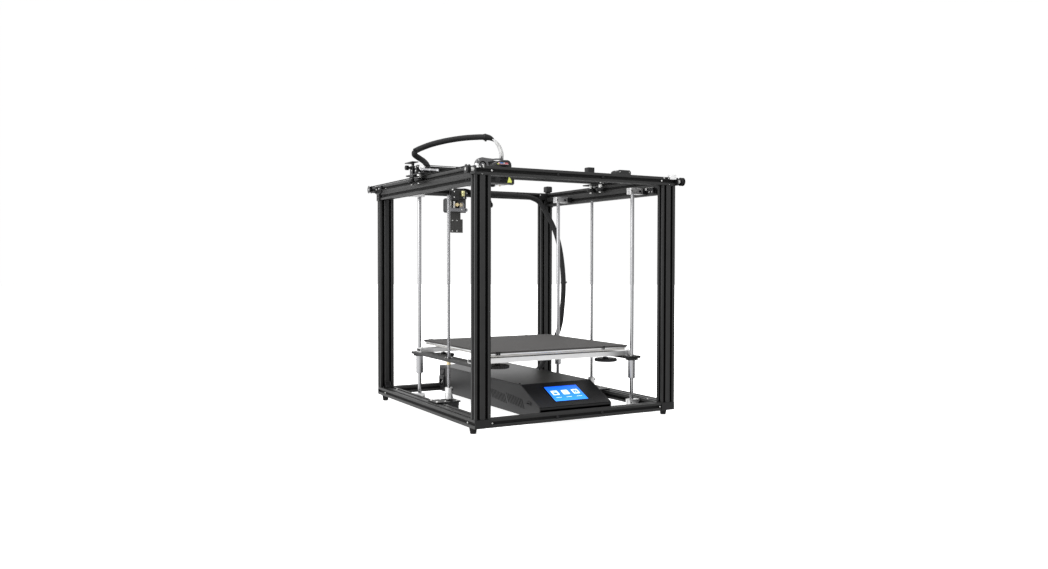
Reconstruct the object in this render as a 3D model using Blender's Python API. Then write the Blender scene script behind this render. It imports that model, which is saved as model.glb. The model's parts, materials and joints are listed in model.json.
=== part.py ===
"""A large cube-frame desktop fused-filament printer, modelled as an assembly of separate pieces.

Lengths below are in millimetres and are turned into metres when a mesh is made. Places are
given in the frame's own corner coordinates: X runs from the outer face of the left posts to
the right, Y from the outer face of the front rails to the rear, Z from the underside of the
base rails up. One empty, "printer", then moves the whole assembly so that the world origin
is at the middle of its bounding box, on the surface that it stands on.
"""

import math

import bmesh
import bpy
from mathutils import Matrix, Vector

MM = 0.001
GAP = 0.3  # between pieces that touch
FEW = 12  # sides of the smaller round shapes

# Driving dimensions of the frame
WIDTH, DEPTH, HEIGHT = 558.0, 611.0, 581.0
PROFILE = 20.0
WIDE = 2 * PROFILE
FOOT_HEIGHT = 15.0
MID_X = WIDTH / 2

# How far the assembly reaches past the frame
REACH_LEFT, REACH_RIGHT = 24.0, 43.0
REACH_FRONT, REACH_REAR = 12.0, 20.0

# Vertical guides and lead screws
ROD_X, ROD_RADIUS = 61.0, 5.0
ROD_FRONT_Y, ROD_REAR_Y = 96.0, 456.0
SCREW_X, SCREW_Y, SCREW_RADIUS = 64.0, 276.0, 4.0
MOTOR_SIDE = 42.0
MOTOR_CHAMFER = 4.0

# Bed, at its lowest position
BED_TOP = 159.0
BED_FRONT, BED_REAR = 84.0, 480.0
BED_HALF = 197.0
KNOB_X, KNOB_FRONT_Y, KNOB_REAR_Y = 122.0, 125.0, 436.0
BRACKET_BOTTOM, BRACKET_TOP = 124.0, 130.0
BAR_TOP, BAR_WIDTH = 142.0, 28.0

# Y drive: toothed pulleys outside the frame, turned by one shaft behind the rear rail
PULLEY_Z = HEIGHT - PROFILE / 2
IDLER_Y, SHAFT_Y = -1.5, DEPTH + 9.5
FLANGE_RADIUS, GROOVE_RADIUS = 10.5, 6.0
BELT_NEAR, BELT_FAR = 15.5, 21.5  # belt track, measured outwards from the frame's side
Y_MOTOR_X, Y_MOTOR_Y = (296.0, 336.0), 600.0
Y_MOTOR_Z = HEIGHT - PROFILE - GAP - MOTOR_SIDE / 2

# Gantry: a beam on two wheeled carriages
BEAM_Y = 310.0
PLATE_BOTTOM, PLATE_TOP = HEIGHT + 3.7, HEIGHT + 6.7
BEAM_BOTTOM = HEIGHT + 7.0
BEAM_TOP = BEAM_BOTTOM + PROFILE
WHEEL_RADIUS, WHEEL_HALF, WHEEL_DIP = 12.0, 5.1, 1.2
WHEEL_YS = (285.0, 330.0)
X_MOTOR_X, X_MOTOR_Z = WIDTH + 22.0, BEAM_TOP - 5.7

# Tool head
NOZZLE_X, NOZZLE_Y, NOZZLE_Z = 205.0, 270.0, 563.5
HEAD_PLATE_FRONT = 281.3
FAN_X, FAN_Z = 200.0, 597.0

# Control box
BOX_LEFT, BOX_RIGHT = 178.0, 380.0
BOX_FRONT, BOX_REAR = 21.0, 588.0
BOX_BOTTOM, BOX_TOP = 1.0, 74.0
PANEL_TOP_Y, PANEL_FOOT_Z = 112.0, 31.0
SHEET = 2.0

# Filament feeder on the rear rail
FEEDER_X, FEEDER_Z = 228.0, 535.0

SLEEVE_RADIUS = 7.5

root = None


# ---------------------------------------------------------------- materials

def material(name, colour, roughness, metallic=0.0):
    found = bpy.data.materials.get(name)
    if found:
        return found
    made = bpy.data.materials.new(name)
    made.use_nodes = True
    shader = made.node_tree.nodes["Principled BSDF"]
    shader.inputs["Base Color"].default_value = (*colour, 1.0)
    shader.inputs["Roughness"].default_value = roughness
    shader.inputs["Metallic"].default_value = metallic
    made.diffuse_color = (*colour, 1.0)
    return made


def anodised():
    return material("black_anodised", (0.035, 0.035, 0.037), 0.38, 0.7)


def black_steel():
    return material("black_steel", (0.02, 0.02, 0.022), 0.45, 0.2)


def polished_steel():
    return material("polished_steel", (0.62, 0.62, 0.63), 0.2, 1.0)


def aluminium():
    return material("aluminium", (0.75, 0.75, 0.76), 0.35, 1.0)


def brass():
    return material("brass", (0.75, 0.55, 0.22), 0.3, 1.0)


def black_plastic():
    return material("black_plastic", (0.018, 0.018, 0.02), 0.5)


def black_rubber():
    return material("black_rubber", (0.015, 0.015, 0.016), 0.8)


def build_surface():
    return material("build_surface", (0.055, 0.053, 0.052), 0.85)


def sleeve_fabric():
    return material("braided_sleeve", (0.02, 0.02, 0.022), 0.75)


def screen_glass():
    return material("screen_blue", (0.01, 0.13, 0.75), 0.2)


# ---------------------------------------------------------------- shape helpers

def solid(bm):
    """A mesh object from a bmesh. It stays in millimetres until piece() places it."""
    bmesh.ops.recalc_face_normals(bm, faces=bm.faces)
    mesh = bpy.data.meshes.new("shape")
    bm.to_mesh(mesh)
    bm.free()
    made = bpy.data.objects.new("shape", mesh)
    bpy.context.scene.collection.objects.link(made)
    return made


def prism(outline, axis, low, high):
    """An outline extruded along an axis. It is given in the two other axes, in X, Y, Z order."""
    def point(pair, along):
        place = list(pair)
        place.insert("XYZ".index(axis), along)
        return place

    bm = bmesh.new()
    face = bm.faces.new([bm.verts.new(point(pair, low)) for pair in outline])
    grown = bmesh.ops.extrude_face_region(bm, geom=[face])
    moved = [v for v in grown["geom"] if isinstance(v, bmesh.types.BMVert)]
    shift = Vector((0, 0, 0))
    shift["XYZ".index(axis)] = high - low
    bmesh.ops.translate(bm, verts=moved, vec=shift)
    return solid(bm)


def block(low, high):
    return prism([(low[0], low[1]), (high[0], low[1]), (high[0], high[1]), (low[0], high[1])],
                 "Z", low[2], high[2])


def chamfered(centre, half, chamfer):
    """A square outline with cut corners."""
    u, v = centre
    inner = half - chamfer
    corners = [(-inner, -half), (inner, -half), (half, -inner), (half, inner),
               (inner, half), (-inner, half), (-half, inner), (-half, -inner)]
    return [(u + du, v + dv) for du, dv in corners]


def turned(profile, axis, centre, segments=16):
    """A profile of (radius, place along the axis) points turned about an axis through centre,
    which is given in the two other axes. A profile off the axis makes a ring."""
    u, v = centre

    def place(radius, along, step):
        angle = 2 * math.pi * step / segments
        point = [u + radius * math.cos(angle), v + radius * math.sin(angle)]
        point.insert("XYZ".index(axis), along)
        return point

    bm = bmesh.new()
    loops = []
    for radius, along in profile:
        if radius == 0:
            loops.append([bm.verts.new(place(0, along, 0))] * segments)
        else:
            loops.append([bm.verts.new(place(radius, along, s)) for s in range(segments)])
    for one, two in zip(loops, loops[1:] + loops[:1]):
        for s in range(segments):
            after = (s + 1) % segments
            corners = [one[s], one[after], two[after], two[s]]
            corners = [c for i, c in enumerate(corners) if c not in corners[:i]]
            if len(corners) > 2:
                bm.faces.new(corners)
    return solid(bm)


def rod(radius, axis, centre, low, high, segments=16):
    return turned([(0, low), (radius, low), (radius, high), (0, high)], axis, centre, segments)


def ring(inner, outer, axis, centre, low, high, segments=16):
    return turned([(inner, low), (outer, low), (outer, high), (inner, high)],
                  axis, centre, segments)


def combined(base, operation, others):
    """The base after a Boolean with each other shape, which are used up."""
    for other in others:
        step = base.modifiers.new("step", "BOOLEAN")
        step.operation = operation
        step.solver = "EXACT"
        step.object = other
    graph = bpy.context.evaluated_depsgraph_get()
    mesh = bpy.data.meshes.new_from_object(base.evaluated_get(graph))
    base.modifiers.clear()
    base.data = mesh
    for other in others:
        bpy.data.objects.remove(other)
    return base


def fused(base, *others):
    return combined(base, "UNION", others)


def carved(base, *others):
    return combined(base, "DIFFERENCE", others)


def mirrored(x, side):
    """A place measured from the left face, or the same one measured from the right face."""
    return x if side == "left" else WIDTH - x


def span(near, far, side):
    """Low and high X of a stretch given from its own side's face."""
    return sorted((mirrored(near, side), mirrored(far, side)))


def slab(near, far, low, high, side):
    """A block whose X stretch is given from its own side; low and high are (Y, Z)."""
    x = span(near, far, side)
    return block((x[0], *low), (x[1], *high))


def piece(name, shape, finish, pivot=(0, 0, 0), smooth=True):
    """Names a shape, puts its origin at pivot and hangs it on the assembly."""
    shape.name = name
    shape.data.name = name
    shape.data.transform(Matrix.Scale(MM, 4) @ Matrix.Translation(-Vector(pivot)))
    shape.location = Vector(pivot) * MM
    shape.parent = root
    shape.data.materials.clear()
    shape.data.materials.append(finish)
    if smooth:
        shape.data.shade_smooth()
        shape.data.set_sharp_from_angle(angle=math.radians(35))
    return shape


# ---------------------------------------------------------------- frame

def slotted_outline(low, high):
    """The section of a V-slot profile, one slot in every 20 mm of each side."""
    slot = [(-4.6, 0), (-3.1, 1.8), (-5.5, 1.8), (-5.5, 3.2), (-2.9, 5.9)]
    slot += [(-t, d) for t, d in reversed(slot)]
    corners = [Vector(low), Vector((high[0], low[1])), Vector(high), Vector((low[0], high[1]))]
    outline = []
    for start, end in zip(corners, corners[1:] + corners[:1]):
        along = (end - start).normalized()
        inward = Vector((-along.y, along.x))
        outline.append(start)
        for cell in range(round((end - start).length / PROFILE)):
            middle = start + along * PROFILE * (cell + 0.5)
            outline += [middle + along * t + inward * d for t, d in slot]
    return [tuple(p) for p in outline]


def rail(name, axis, section_low, section_high, low, high):
    shape = prism(slotted_outline(section_low, section_high), axis, low, high)
    return piece(name, shape, anodised(), smooth=False)


def build_frame():
    for side in ("left", "right"):
        x = span(0, WIDE, side)
        narrow = span(0, PROFILE, side)
        for end, y in (("front", 0), ("rear", DEPTH - PROFILE)):
            rail(f"post_{end}_{side}", "Z", (x[0], y), (x[1], y + PROFILE),
                 PROFILE + GAP, HEIGHT - PROFILE - GAP)
        rail(f"base_rail_{side}", "Y", (x[0], 0), (x[1], PROFILE), 0, DEPTH)
        rail(f"top_rail_{side}", "Y", (narrow[0], HEIGHT - WIDE), (narrow[1], HEIGHT),
             PROFILE + GAP, DEPTH - PROFILE - GAP)
    for end, y in (("front", 0), ("rear", DEPTH - PROFILE)):
        rail(f"base_rail_{end}", "X", (y, 0), (y + PROFILE, PROFILE),
             WIDE + GAP, WIDTH - WIDE - GAP)
        rail(f"top_rail_{end}", "X", (y, HEIGHT - PROFILE), (y + PROFILE, HEIGHT), 0, WIDTH)


def build_feet():
    inset_x, inset_y = 11.0, 30.0
    profile = [(0, -FOOT_HEIGHT), (6.4, -FOOT_HEIGHT), (7.2, 1 - FOOT_HEIGHT),
               (9, -1.4), (9, -GAP), (0, -GAP)]
    for side in ("left", "right"):
        for end, y in (("front", inset_y), ("rear", DEPTH - inset_y)):
            place = (mirrored(inset_x, side), y)
            piece(f"foot_{end}_{side}", turned(profile, "Z", place), black_rubber())


# ---------------------------------------------------------------- vertical motion

def build_guide_rods():
    """Each polished rod with the two blocks that clamp its ends to the frame."""
    half = 9.5
    for side in ("left", "right"):
        for end, y in (("front", ROD_FRONT_Y), ("rear", ROD_REAR_Y)):
            foot_block = slab(WIDE + GAP, ROD_X + 12, (y - half, 2), (y + half, 18), side)
            top_block = slab(PROFILE + GAP, ROD_X + 12, (y - half, HEIGHT - 38),
                             (y + half, HEIGHT - 22), side)
            shaft = rod(ROD_RADIUS, "Z", (mirrored(ROD_X, side), y), 4, HEIGHT - 24, FEW)
            piece(f"guide_rod_{end}_{side}", fused(shaft, foot_block, top_block),
                  polished_steel())


def motor_body(axis, centre, low, high):
    return prism(chamfered(centre, MOTOR_SIDE / 2, MOTOR_CHAMFER), axis, low, high)


def build_z_drives():
    plate_low, plate_high = PROFILE + GAP, PROFILE + GAP + 3
    for side in ("left", "right"):
        axis = (mirrored(SCREW_X, side), SCREW_Y)
        plate = slab(18, 86, (250, plate_low), (302, plate_high), side)
        plate = carved(plate, rod(11.5, "Z", axis, plate_low - 1, plate_high + 1))
        piece(f"z_motor_plate_{side}", plate, black_steel(), smooth=False)
        piece(f"z_motor_{side}", motor_body("Z", axis, PROFILE - 31, PROFILE - GAP),
              black_steel(), smooth=False)
        profile = [(0, 20.6), (2.5, 20.6), (2.5, 26), (9.5, 26), (9.5, 55), (SCREW_RADIUS, 55),
                   (SCREW_RADIUS, HEIGHT - 44), (SCREW_RADIUS - 1, HEIGHT - 43),
                   (0, HEIGHT - 43)]
        piece(f"lead_screw_{side}", turned(profile, "Z", axis, FEW), polished_steel(),
              pivot=(*axis, 0))


def bed_frame():
    """Two side plates with bearings and a screw nut, joined by a front and a rear bar."""
    parts, holes, rings = [], [], []
    for side in ("left", "right"):
        parts.append(slab(42, 86, (80, BRACKET_BOTTOM), (472, BRACKET_TOP), side))
        for y in (ROD_FRONT_Y, ROD_REAR_Y):
            place = (mirrored(ROD_X, side), y)
            rings.append(ring(5.4, 9.5, "Z", place, 73, BRACKET_BOTTOM + 1, FEW))
            holes.append(rod(7, "Z", place, BRACKET_BOTTOM - 2, BRACKET_TOP + 2, FEW))
        screw = (mirrored(SCREW_X, side), SCREW_Y)
        rings.append(ring(4.6, 11, "Z", screw, 117, BRACKET_BOTTOM + 2, FEW))
        holes.append(rod(7.5, "Z", screw, BRACKET_BOTTOM - 2, BRACKET_TOP + 2, FEW))
        for y in (KNOB_FRONT_Y, KNOB_REAR_Y):
            holes.append(rod(3, "Z", (mirrored(KNOB_X, side), y),
                             BRACKET_TOP - 3, BAR_TOP + 2, FEW))
    for y in (KNOB_FRONT_Y - 18.5, KNOB_REAR_Y - 18.5):
        parts.append(block((48, y, BRACKET_TOP - 1), (WIDTH - 48, y + BAR_WIDTH, BAR_TOP)))
    return fused(carved(fused(*parts), *holes), *rings)


def build_bed():
    piece("bed_frame", bed_frame(), black_steel(), smooth=False)
    heater = block((MID_X - BED_HALF + 2, BED_FRONT + 3, BED_TOP - 12),
                   (MID_X + BED_HALF - 2, BED_REAR - 3, BED_TOP - 4 - GAP))
    piece("heated_plate", heater, aluminium(), smooth=False)
    sheet = block((MID_X - BED_HALF, BED_FRONT, BED_TOP - 4), (MID_X + BED_HALF, BED_REAR, BED_TOP))
    piece("build_plate", sheet, build_surface(), smooth=False)
    wheel = [(0, 116), (27, 116), (29, 118), (29, 122), (27, 124), (6, 124), (6, 127),
             (2, 127), (2, 146.5), (0, 146.5)]
    for side in ("left", "right"):
        for end, y in (("front", KNOB_FRONT_Y), ("rear", KNOB_REAR_Y)):
            place = (mirrored(KNOB_X, side), y)
            piece(f"levelling_knob_{end}_{side}", turned(wheel, "Z", place), black_plastic(),
                  pivot=(*place, 120))


# ---------------------------------------------------------------- control box

def panel_frame():
    """Places things on the sloped front: X right, Y up the slope, Z out of the panel."""
    foot = Vector((MID_X, BOX_FRONT, PANEL_FOOT_Z))
    head = Vector((MID_X, PANEL_TOP_Y, BOX_TOP))
    up = (head - foot).normalized()
    right = Vector((1, 0, 0))
    out = right.cross(up)
    turn = Matrix((right, up, out)).transposed().to_4x4()
    turn.translation = (foot + head) / 2
    return turn


def on_panel(shape):
    shape.data.transform(panel_frame())
    return shape


def control_box():
    shell = prism([(BOX_REAR, BOX_BOTTOM), (BOX_REAR, BOX_TOP - SHEET - GAP),
                   (PANEL_TOP_Y + 2, BOX_TOP - SHEET - GAP), (PANEL_TOP_Y, BOX_TOP),
                   (BOX_FRONT, PANEL_FOOT_Z), (BOX_FRONT, BOX_BOTTOM)], "X", BOX_LEFT, BOX_RIGHT)
    inside = prism([(BOX_REAR - SHEET, BOX_BOTTOM + SHEET), (BOX_REAR - SHEET, BOX_TOP + 5),
                    (PANEL_TOP_Y + 6, BOX_TOP + 5), (PANEL_TOP_Y + 6, BOX_TOP - 5),
                    (BOX_FRONT + SHEET, PANEL_FOOT_Z - SHEET),
                    (BOX_FRONT + SHEET, BOX_BOTTOM + SHEET)],
                   "X", BOX_LEFT + SHEET, BOX_RIGHT - SHEET)
    screen_hole = on_panel(block((-49.6, -34.1, -12), (49.6, 34.1, 12)))
    inlet_hole = block((BOX_LEFT - 3, 552.5, 13.5), (BOX_LEFT + 5, 583.5, 43.5))
    switch_hole = block((BOX_LEFT - 3, 555, 47), (BOX_LEFT + 5, 581, 65))
    return carved(shell, inside, screen_hole, inlet_hole, switch_hole)


def build_control_box():
    piece("control_box", control_box(), black_steel(), smooth=False)
    lid = block((BOX_LEFT, PANEL_TOP_Y + 3, BOX_TOP - SHEET), (BOX_RIGHT, BOX_REAR, BOX_TOP))
    piece("control_box_lid", lid, black_steel(), smooth=False)
    screen = on_panel(block((-49, -33.5, -5), (49, 33.5, 0.6)))
    piece("touchscreen", screen, screen_glass(), smooth=False)
    inlet = carved(block((BOX_LEFT - 4, 553, 14), (BOX_LEFT + 26, 583, 43)),
                   block((BOX_LEFT - 6, 557, 18), (BOX_LEFT + 18, 579, 36)))
    piece("power_inlet", inlet, black_plastic(), smooth=False)
    pivot = (BOX_LEFT + 2, 568, 56)
    rocker = [(-6, -4.5), (-4, -7), (5, -5), (5, 5), (-3.4, 7), (-4.2, 0)]
    outline = [(pivot[0] + x, pivot[2] + z) for x, z in rocker]
    piece("power_switch", prism(outline, "Y", 557, 579), black_plastic(), pivot, smooth=False)
    piece("power_supply", block((188, 330, 5), (300, 530, 52)), aluminium(), smooth=False)


# ---------------------------------------------------------------- Y drive

def outward(x, side):
    """A place measured outwards from the frame's side face."""
    return -x if side == "left" else WIDTH + x


def pulley_profile(side, bore):
    """A flanged pulley as a ring profile; its bore is open unless it is part of a shaft."""
    marks = [(bore, 5), (5.5, 5), (5.5, BELT_NEAR - 1.2), (FLANGE_RADIUS, BELT_NEAR - 1.2),
             (FLANGE_RADIUS, BELT_NEAR), (GROOVE_RADIUS, BELT_NEAR), (GROOVE_RADIUS, BELT_FAR),
             (FLANGE_RADIUS, BELT_FAR), (FLANGE_RADIUS, BELT_FAR + 1.2), (bore, BELT_FAR + 1.2)]
    return [(radius, outward(x, side)) for radius, x in marks]


def build_y_drive():
    axle = 3.0
    left = [(0, outward(BELT_FAR + 1.2, "left"))] + pulley_profile("left", axle)[::-1][1:]
    right = pulley_profile("right", axle)[:-1] + [(0, outward(BELT_FAR + 1.2, "right"))]
    middle = [(axle, 343), (8, 343), (8, 353), (axle, 353)]
    shaft = turned(left + middle + right, "X", (SHAFT_Y, PULLEY_Z))
    piece("y_drive_shaft", shaft, polished_steel(), pivot=(0, SHAFT_Y, PULLEY_Z))

    body = motor_body("X", (Y_MOTOR_Y, Y_MOTOR_Z), *Y_MOTOR_X)
    stub = turned([(0, 333), (2.5, 333), (2.5, 343), (6, 343), (6, 353), (0, 353)],
                  "X", (Y_MOTOR_Y, Y_MOTOR_Z), FEW)
    piece("y_motor", fused(body, stub), black_steel(), smooth=False)

    for side in ("left", "right"):
        near, far = span(-GAP, -3.3, side)
        plate = prism([(DEPTH - 36, 561), (DEPTH - 21, 557), (DEPTH - 21, 539), (DEPTH - 1, 539),
                       (DEPTH - 1, 557), (DEPTH + 15, 562), (DEPTH + 15, 580),
                       (DEPTH - 36, 580)], "X", near, far)
        plate = carved(plate, rod(3.7, "X", (SHAFT_Y, PULLEY_Z), near - 1, far + 1, FEW))
        piece(f"shaft_bracket_{side}", plate, black_steel(), smooth=False)

        cheek = prism([(-9, 562), (24, 562), (24, 580), (-9, 580)], "X", near, far)
        tab = slab(-GAP - 1, 22, (-5, 563), (-GAP, 579), side)
        pin = turned([(0, outward(2, side)), (2.5, outward(2, side)),
                      (2.5, outward(23.8, side)), (0, outward(23.8, side))],
                     "X", (IDLER_Y, PULLEY_Z), FEW)
        piece(f"idler_bracket_{side}", fused(cheek, tab, pin), aluminium(), smooth=False)
        idler = turned(pulley_profile(side, 2.9), "X", (IDLER_Y, PULLEY_Z))
        piece(f"front_idler_{side}", idler, black_plastic(), pivot=(0, IDLER_Y, PULLEY_Z))


# ---------------------------------------------------------------- gantry

def wheel(axis, centre, middle, toward):
    """A V-edged wheel and its axle, which ends at toward on its plate."""
    slope = 2.6
    low, high = middle - WHEEL_HALF, middle + WHEEL_HALF
    profile = [(0, low), (WHEEL_RADIUS - slope, low), (WHEEL_RADIUS, low + slope),
               (WHEEL_RADIUS, high - slope), (WHEEL_RADIUS - slope, high)]
    if toward > middle:
        profile += [(2.5, high), (2.5, toward), (0, toward)]
    else:
        profile = [(0, toward), (2.5, toward), (2.5, low)] + profile[1:] + [(0, high)]
    return turned(profile, axis, centre, FEW)


def carriage_wheels(side):
    out = WHEEL_RADIUS - WHEEL_DIP
    for x in (-out, PROFILE + out):
        for y in WHEEL_YS:
            yield wheel("Z", (mirrored(x, side), y), HEIGHT - PROFILE / 2, PLATE_BOTTOM + 1)


def build_gantry():
    beam = prism(slotted_outline((BEAM_Y - 10, BEAM_BOTTOM), (BEAM_Y + 10, BEAM_TOP)),
                 "X", -8, WIDTH + 8)
    piece("gantry_beam", beam, anodised(), smooth=False)

    left = slab(-REACH_LEFT, 40, (262, PLATE_BOTTOM), (362, PLATE_TOP), "left")
    piece("y_carriage_left", fused(left, *carriage_wheels("left")), black_steel(), smooth=False)

    right = slab(-REACH_LEFT, 40, (278, PLATE_BOTTOM), (362, PLATE_TOP), "right")
    motor_plate = block((X_MOTOR_X - 40, 277, PLATE_BOTTOM + 1),
                        (X_MOTOR_X + 21, 280, X_MOTOR_Z + 21))
    right = fused(right, motor_plate, *carriage_wheels("right"))
    opening = rod(11.5, "Y", (X_MOTOR_X, X_MOTOR_Z), 275, 282)
    piece("y_carriage_right", carved(right, opening), black_steel(), smooth=False)

    body = motor_body("Y", (X_MOTOR_X, X_MOTOR_Z), 243, 277 - GAP)
    stub = turned([(0, 275), (2.5, 275), (2.5, 284), (7.5, 284), (7.5, 286), (5.6, 286),
                   (5.6, 294), (7.5, 294), (7.5, 296), (0, 296)],
                  "Y", (X_MOTOR_X, X_MOTOR_Z), FEW)
    piece("x_motor", fused(body, stub), black_steel(), smooth=False)


# ---------------------------------------------------------------- tool head

def build_tool_head():
    back = HEAD_PLATE_FRONT + 3
    plate = block((165, HEAD_PLATE_FRONT, 570), (245, back, 630))
    out = WHEEL_RADIUS - WHEEL_DIP
    places = [(180, BEAM_TOP + out), (230, BEAM_TOP + out), (NOZZLE_X, BEAM_BOTTOM - out)]
    wheels = [wheel("Y", place, BEAM_Y, back - 1) for place in places]
    piece("x_carriage", fused(plate, *wheels), black_steel(), smooth=False)

    front, rear = 238.0, HEAD_PLATE_FRONT - GAP
    hood = prism([(160, 569), (232, 569), (232, 586), (224, 590), (224, 622), (217, 629),
                  (190, 629), (174, 620), (160, 606)], "Y", front, rear)
    fan_place = (FAN_X, FAN_Z)
    hood = carved(hood, rod(20, "Y", fan_place, front - 2, front + 12))
    heater = block((NOZZLE_X - 10, NOZZLE_Y - 12, 566.5), (NOZZLE_X + 10, NOZZLE_Y + 8, 570))
    nozzle = turned([(0, NOZZLE_Z), (0.8, NOZZLE_Z), (3, 565.5), (4, 565.5), (4, 567), (0, 567)],
                    "Z", (NOZZLE_X, NOZZLE_Y), FEW)
    piece("hotend", fused(hood, heater, nozzle), black_plastic(), smooth=False)

    hub = rod(8, "Y", fan_place, front + 2, front + 9, FEW)
    blades = []
    for turn in range(7):
        blade = block((5, -0.8, 0), (18.5, 0.8, 6))
        pitch = Matrix.Rotation(math.radians(35), 4, "X")
        lift = Matrix.Translation((0, 0, -3))
        around = Matrix.Rotation(2 * math.pi * turn / 7, 4, "Z")
        stand = Matrix.Rotation(math.radians(90), 4, "X")
        there = Matrix.Translation((fan_place[0], front + 5.5, fan_place[1]))
        blade.data.transform(there @ stand @ around @ pitch @ lift)
        blades.append(blade)
    piece("hotend_fan", fused(hub, *blades), black_plastic(),
          pivot=(fan_place[0], front + 5.5, fan_place[1]))


# ---------------------------------------------------------------- filament feeder

def build_feeder():
    rear = DEPTH - PROFILE - GAP
    front = rear - 3
    plate = prism([(210, 455), (252, 455), (252, 494), (245, 494), (245, 513), (262, 513),
                   (262, 577), (210, 577)], "Y", front, rear)
    plate = carved(plate, rod(11.5, "Y", (FEEDER_X, FEEDER_Z), front - 1, rear + 1))
    piece("feeder_bracket", plate, black_steel(), smooth=False)

    body = motor_body("Y", (FEEDER_X, FEEDER_Z), rear + GAP, rear + GAP + 36)
    piece("feeder_motor", body, black_steel(), smooth=False)

    gear = [(0, front - 15), (5.6, front - 15), (5.6, front - 3), (2.5, front - 3),
            (2.5, rear - 0.2), (0, rear - 0.2)]
    piece("feeder_gear", turned(gear, "Y", (FEEDER_X, FEEDER_Z)), brass(),
          pivot=(FEEDER_X, front, FEEDER_Z))

    pivot = (FEEDER_X + 15, front - 8, FEEDER_Z - 14)
    outline = [(-36, -5.5), (15, -5.5), (19, -2), (19, 2), (15, 5), (8, 5), (8, 21), (-7, 21),
               (-7, 5), (-36, 5)]
    arm = prism([(pivot[0] + u, pivot[2] + v) for u, v in outline], "Y", front - 12, front - 1)
    roller = rod(5.4, "Y", (FEEDER_X + 12.8, FEEDER_Z), front - 14, front - 2)
    bore = rod(2.8, "Y", (pivot[0], pivot[2]), front - 13, front, FEW)
    piece("feeder_lever", carved(fused(arm, roller), bore), aluminium(), pivot, smooth=False)


# ---------------------------------------------------------------- wiring

def smooth_route(points, spacing):
    """Points at an even spacing on a smooth curve through the given ones."""
    points = [Vector(p) for p in points]
    points = [2 * points[0] - points[1]] + points + [2 * points[-1] - points[-2]]
    fine = []
    for a, b, c, d in zip(points, points[1:], points[2:], points[3:]):
        for step in range(24):
            t = step / 24
            fine.append(0.5 * (2 * b + (c - a) * t + (2 * a - 5 * b + 4 * c - d) * t ** 2
                               + (3 * b - a - 3 * c + d) * t ** 3))
    fine.append(points[-2])
    lengths = [0.0]
    for one, two in zip(fine, fine[1:]):
        lengths.append(lengths[-1] + (two - one).length)
    count = max(2, round(lengths[-1] / spacing))
    route = []
    for k in range(count + 1):
        want = lengths[-1] * k / count
        i = next((i for i, s in enumerate(lengths) if s >= want), len(fine) - 1)
        i = max(1, i)
        part = (want - lengths[i - 1]) / (lengths[i] - lengths[i - 1])
        route.append(fine[i - 1].lerp(fine[i], part))
    return route


def sleeve(name, points, spacing):
    curve = bpy.data.curves.new(name, "CURVE")
    curve.dimensions = "3D"
    curve.bevel_depth = SLEEVE_RADIUS * MM
    curve.bevel_resolution = 2
    curve.use_fill_caps = True
    curve.materials.append(sleeve_fabric())
    route = smooth_route(points, spacing)
    line = curve.splines.new("POLY")
    line.points.add(len(route) - 1)
    for there, place in zip(line.points, route):
        there.co = (*(place * MM), 1)
    made = bpy.data.objects.new(name, curve)
    bpy.context.scene.collection.objects.link(made)
    made.parent = root


LOWER_ROUTE = [(BOX_RIGHT + 1, 566, 36), (415, 567, 36), (455, 569, 37), (492, 571, 42),
               (514, 570, 62), (523, 556, 95), (527, 528, 130), (532, 505, 175),
               (536, 498, 220), (543, 500, 305), (545, 520, 399), (540, 546, 467),
               (521, 568, 523), (505, 577, 551), (484, 580, 563), (455, 581, 568),
               (400, 581.5, 570), (330, 581.5, 571), (278, 581.5, 571)]

UPPER_ROUTE = [(122, 585, 590), (112, 548, 602), (102, 505, 613), (84, 455, 625),
               (60, 420, 633), (36, 398, 639), (20, 390, 646), (20, 388, 655),
               (38, 392, 664), (66, 385, 675.5), (100, 366, 685), (137, 345, 691.5),
               (168, 322, 693.5), (184, 308, 693)]


def build_wiring():
    sleeve("cable_sleeve_lower", LOWER_ROUTE, 30)
    sleeve("cable_sleeve_upper", UPPER_ROUTE, 20)


def main():
    global root
    for old in list(bpy.data.objects):
        bpy.data.objects.remove(old)
    root = bpy.data.objects.new("printer", None)
    bpy.context.scene.collection.objects.link(root)
    root.location = Vector(((REACH_LEFT - WIDTH - REACH_RIGHT) / 2,
                            (REACH_FRONT - DEPTH - REACH_REAR) / 2, FOOT_HEIGHT)) * MM
    build_frame()
    build_feet()
    build_guide_rods()
    build_z_drives()
    build_bed()
    build_control_box()
    build_y_drive()
    build_gantry()
    build_tool_head()
    build_feeder()
    build_wiring()


main()
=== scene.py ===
"""The looks of the cube-frame printer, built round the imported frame.

Shapes are made in millimetres, in the frame's corner coordinates: X from the outer face of the
left posts, Y from the outer face of the front rails, Z from the underside of the base rails.
piece() moves each one to its place in the row frame, in metres.
"""

import json
import math

import bmesh
import bpy
from mathutils import Matrix, Vector


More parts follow.
